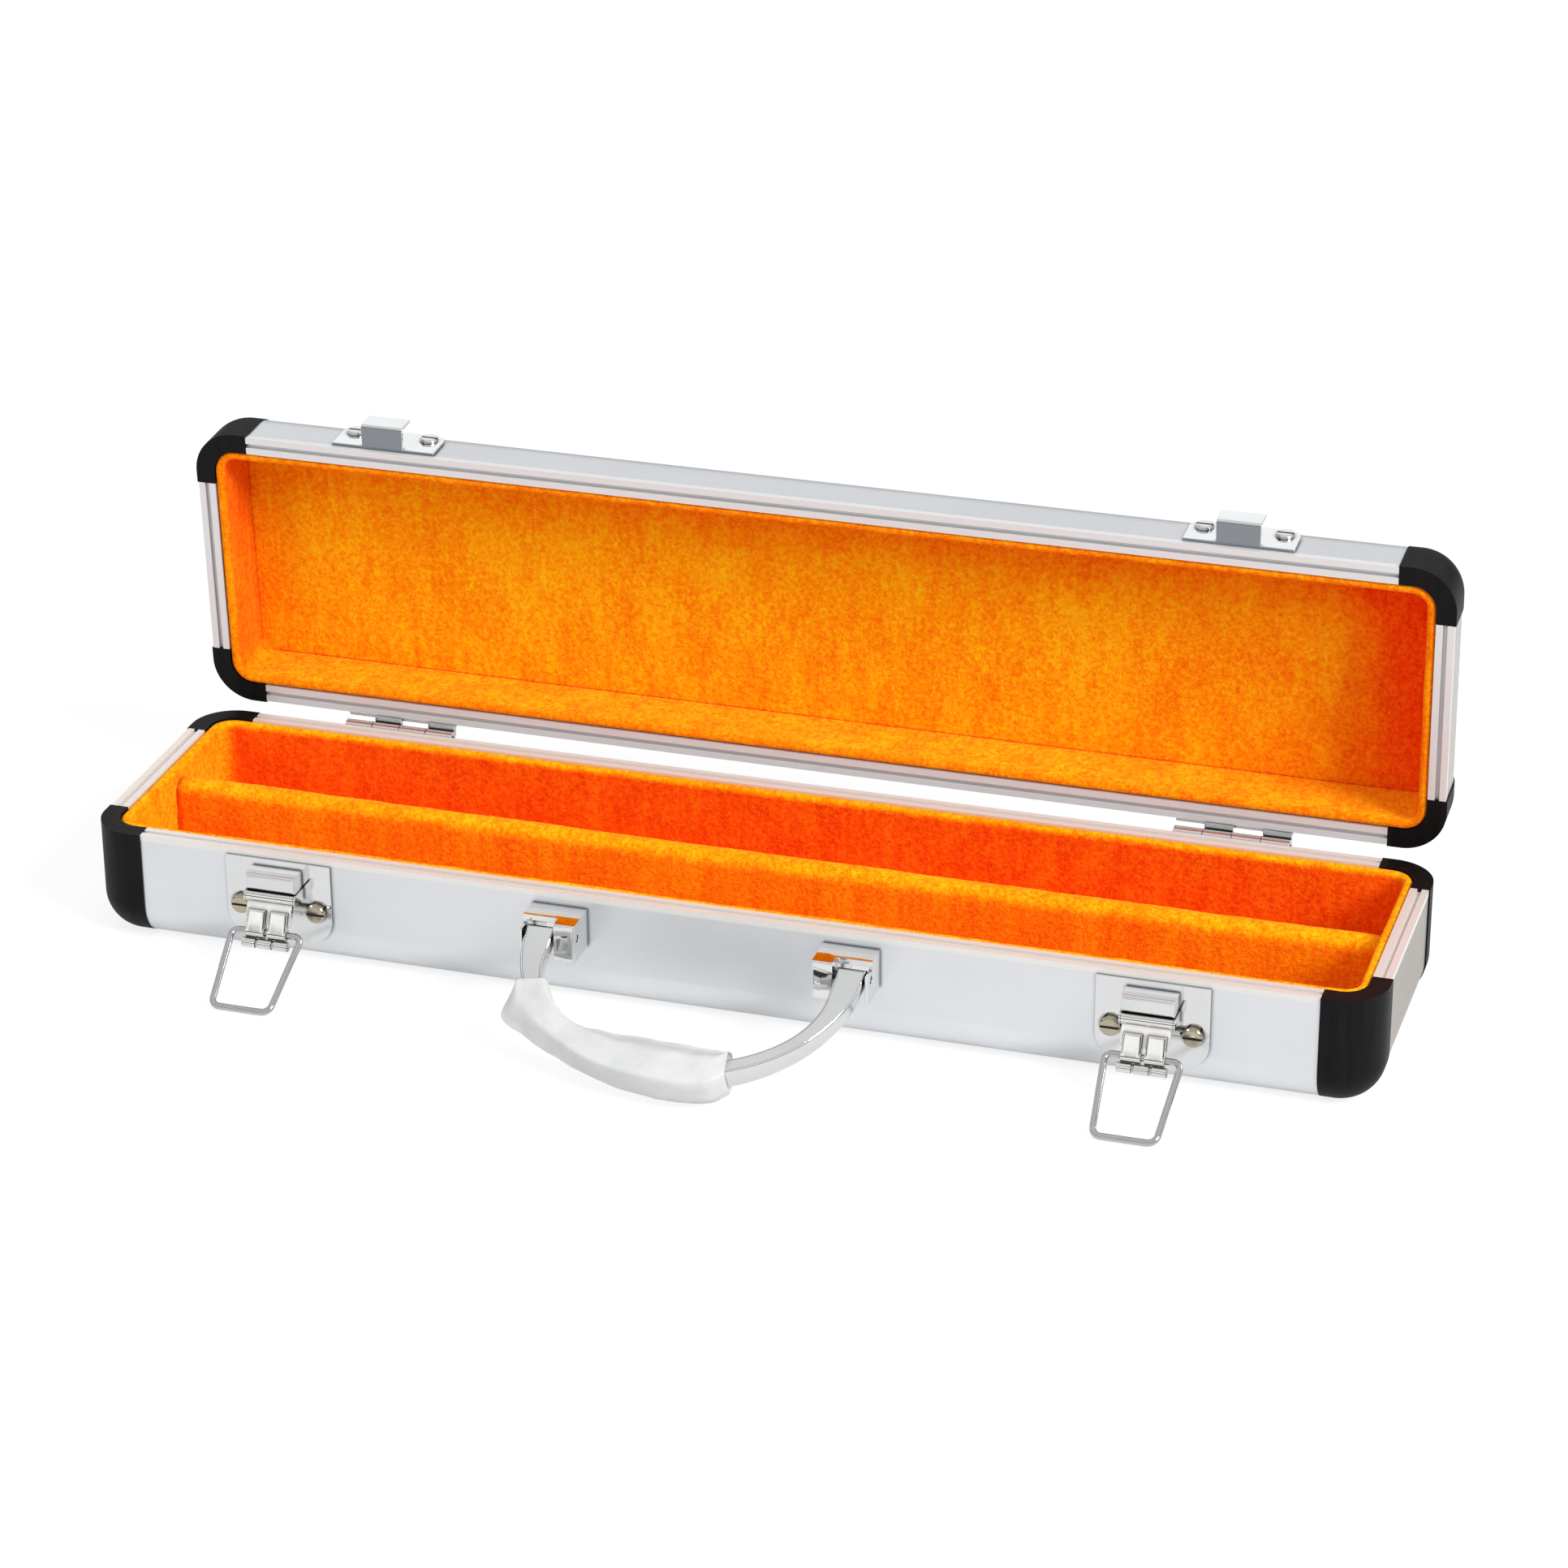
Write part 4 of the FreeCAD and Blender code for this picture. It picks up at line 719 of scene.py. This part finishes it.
def film_sleeve():
    """A loose tube of milky film: each station is (inner point, outer point, where it starts and stops touching the
    grip, height of its front), in the handle's own plane, x along the case and s down from the pivot."""
    stations = [
        ((-42.6, 19.6), (-53.2, 21.8), 0.12, 0.90, 5.4), ((-39.6, 24.5), (-54.9, 33.4), 0.05, 0.55, 6.0),
        ((-35.8, 29.3), (-46.5, 38.4), 0.06, 0.60, 6.6), ((-30.0, 32.9), (-37.0, 43.4), 0.12, 0.68, 7.1),
        ((-21.5, 34.0), (-27.2, 47.6), 0.30, 0.80, 7.7), ((-12.1, 34.1), (-14.5, 51.4), 0.38, 0.86, 8.1),
        ((-2.0, 34.4), (-4.0, 53.4), 0.40, 0.84, 8.3), ((7.0, 34.5), (5.5, 54.4), 0.40, 0.84, 8.4),
        ((14.0, 34.7), (14.0, 53.8), 0.40, 0.84, 8.4), ((18.8, 35.0), (19.6, 52.0), 0.38, 0.85, 8.3),
        ((22.6, 35.3), (23.8, 46.6), 0.26, 0.93, 8.0)]
    knots = np.array([[a[0], a[1], b[0], b[1], v1, v2, f] for a, b, v1, v2, f in stations])
    count, half = 96, 26
    t_knots = np.arange(len(stations), dtype=float)
    ts = np.linspace(0, len(stations) - 1, count)

    def smooth(col):
        """Catmull-Rom through the knots"""
        out = []
        for u in ts:
            i = min(int(u), len(col) - 2)
            f = u - i
            p0, p1, p2, p3 = col[max(0, i - 1)], col[i], col[i + 1], col[min(len(col) - 1, i + 2)]
            out.append(0.5 * (2 * p1 + (p2 - p0) * f + (2 * p0 - 5 * p1 + 4 * p2 - p3) * f * f + (3 * p1 - p0 - 3 * p2 + p3) * f ** 3))
        return out

    cols = [smooth(knots[:, j]) for j in range(7)]
    verts, faces = [], []
    ring = 2 * half

    def step(v, a, b):
        q = min(1.0, max(0.0, (v - a) / (b - a)))
        return q * q * (3 - 2 * q)

    for i in range(count):
        ax, as_, bx, bs, v1, v2, front = (c[i] for c in cols)
        end = min(1.0, i / 5.0, (count - 1 - i) / 5.0)
        for j in range(ring):
            top = j < half
            v = (j / half) if top else (1.0 - (j - half) / half)
            on = step(v, -0.02, v1) * (1.0 - step(v, v2, 1.02))
            x, d = ax + (bx - ax) * v, as_ + (bs - as_) * v
            mid = 2.9 - 1.3 * v
            if top:
                h = mid + (front - mid) * on
            else:
                h = mid + (-3.5 - mid) * on
            p = (x, d, h)
            fold = 0.68 * rough_field((i * 1.1, v * 34.0, 0.0 if top else 50.0), 7.5, 3.0) + 0.36 * rough_field((x, d, h), 3.2, 8.0)
            slack = 0.35 + 0.65 * (1.0 - on)
            h += (fold * slack + 0.15 + 0.4 * (1.0 - end)) * (1 if top else -1)
            edge = 0.35 * rough_field((x, d, h), 6.0, 14.0)
            if on < 0.4:
                d += edge
            verts.append((x, -h, -d))
    for i in range(count - 1):
        for j in range(ring):
            a, b = i * ring + j, i * ring + (j + 1) % ring
            faces.append((a, b, b + ring, a + ring))
    o = new_object("handle_film_wrap", verts, faces, M["film"], HANDLE)
    recalc(o)
    sub = o.modifiers.new("soft", "SUBSURF")
    sub.levels = sub.render_levels = 1
    wall = o.modifiers.new("wall", "SOLIDIFY")
    wall.thickness = 0.25 * MM
    wall.offset = 0.0
    return o


def refined(n, width, mat, body, segments=2, angle=32.0, clear=0.0):
    """The CAD piece's own shape with its hard edges eased, as a new object that stands for the node. clear lifts
    the lower end of a lid hinge leaf off the base's rear wall by that many mm when the lid is shut."""
    bm = bmesh.new()
    bm.from_mesh(nodes[n].data)
    bmesh.ops.remove_doubles(bm, verts=bm.verts[:], dist=2e-6)
    if clear > 0:
        hinge = Matrix.Translation((0, HINGE_Y, HINGE_Z))
        shut = hinge @ Matrix.Rotation(math.radians(OPEN_ANGLE), 4, "X") @ hinge.inverted()
        back = shut.inverted()
        for v in bm.verts:
            c = shut @ (v.co / MM)
            if c.y < HALF_W + 0.05 and c.z < BASE_H + 0.1:
                c.y += clear
                v.co = (back @ c) * MM
    bmesh.ops.dissolve_limit(bm, angle_limit=math.radians(0.6), verts=bm.verts[:], edges=bm.edges[:])
    me = bpy.data.meshes.new(n + "_eased")
    bm.to_mesh(me)
    bm.free()
    for a in [a.name for a in me.attributes if a.name == "custom_normal"]:
        me.attributes.remove(me.attributes[a])
    for poly in me.polygons:
        poly.use_smooth = True
        poly.material_index = 0
    me.materials.clear()
    me.materials.append(mat)
    o = bpy.data.objects.new(n + "_eased", me)
    scene.collection.objects.link(o)
    if width > 0:
        b = o.modifiers.new("ease", "BEVEL")
        b.width = width * MM
        b.segments = segments
        b.limit_method = "ANGLE"
        b.angle_limit = math.radians(angle)
        b.use_clamp_overlap = True
        b.harden_normals = True
    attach(o, body)
    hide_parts(n)
    return o


# ================================================================ plush lining
def lid_panel_light(x, y):
    """Painted light and shade on the lid's panel: lit over most of it, shaded towards its right end, its front edge and
    a little at its left end, with a dark line of painted shade along its hinge-side and left edges.
    """
    def ease(v, a, b):
        q = min(1.0, max(0.0, (v - a) / (b - a)))
        return q * q * (3 - 2 * q)
    return (1.0 - 0.14 * ease(x, 60.0, 165.0) - 0.16 * ease(x, 135.0, 172.0) - 0.62 * ease(x, 168.0, 198.0) - 0.50 * ease(y, 14.0, 40.0) * (0.45 + 0.55 * ease(x, -120.0, -20.0)) - 0.10 * ease(-x, 190.0, 206.0)
            - 1.3 * ease(-y, 40.3, 41.2) - 0.9 * ease(-x, 205.3, 206.2))


# painted light and shade on the base's walls: right and rear walls shaded, left wall and top edge lit
base_liner = liner("base_liner_band", BASE_H, None, 1.0, (0.20, 1.0, 0.10, 0.40, 1.0))
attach(base_liner, "base")
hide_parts("base_lining_front", "base_lining_rear", "base_lining_left", "base_lining_right")
# painted light and shade: the base floor gets an even middle share
base_floor = pad_board("base_liner_floor", 206.5, 41.5, 5.0, 2.3, 4.7, 0.2, None, 3.0, lambda x, y: 0.45)
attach(base_floor, "base")
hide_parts("base_lining_floor")
# painted light and shade on the lid's walls, one share per wall
lid_liner = liner("lid_liner_band", LID_H, LID, 21.0, (0.08, 0.36, 0.25, 1.0, 0.62))
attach(lid_liner, "lid")
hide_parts("lid_lining_front", "lid_lining_rear", "lid_lining_left", "lid_lining_right")
lid_panel = pad_board("lid_liner_panel", 206.5, 41.5, 4.4, 2.3, 5.0, 0.5, LID, 33.0, lid_panel_light)
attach(lid_panel, "lid")
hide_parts("lid_lining_panel")
bar = divider()
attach(bar, "base")
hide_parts("base_divider")

# ================================================================ plated hardware with eased edges
for side in ("left", "right"):
    refined("latch_plate_" + side, 0.22, M["plate"], "base")
    refined("latch_lever_" + side, 0.25, M["lever"], "latch_lever_%s_body" % side)
    refined("lid_catch_" + side, 0.22, M["catch"], "lid")
    refined("handle_bracket_" + side, 0.25, M["bracket"], "base")
    refined("latch_bail_" + side, 0.0, M["wire"], "latch_bail_%s_body" % side)
    refined("hinge_lid_leaf_" + side, 0.12, M["steel"], "lid", clear=0.12)
refined("latch_screws", 0.12, M["brass"], "base")
refined("lid_catch_screws", 0.12, M["steel"], "lid")
refined("handle_strap", 0.45, M["handle"], "handle", 3)

# ================================================================ loose film round the grip
HANDLE = (Matrix.Translation((HANDLE_SHIFT, -60.3, 29.6)) @ Matrix.Rotation(-math.radians(60.5), 4, "X"))
film = film_sleeve()
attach(film, "handle")
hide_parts("handle_film_sleeve")
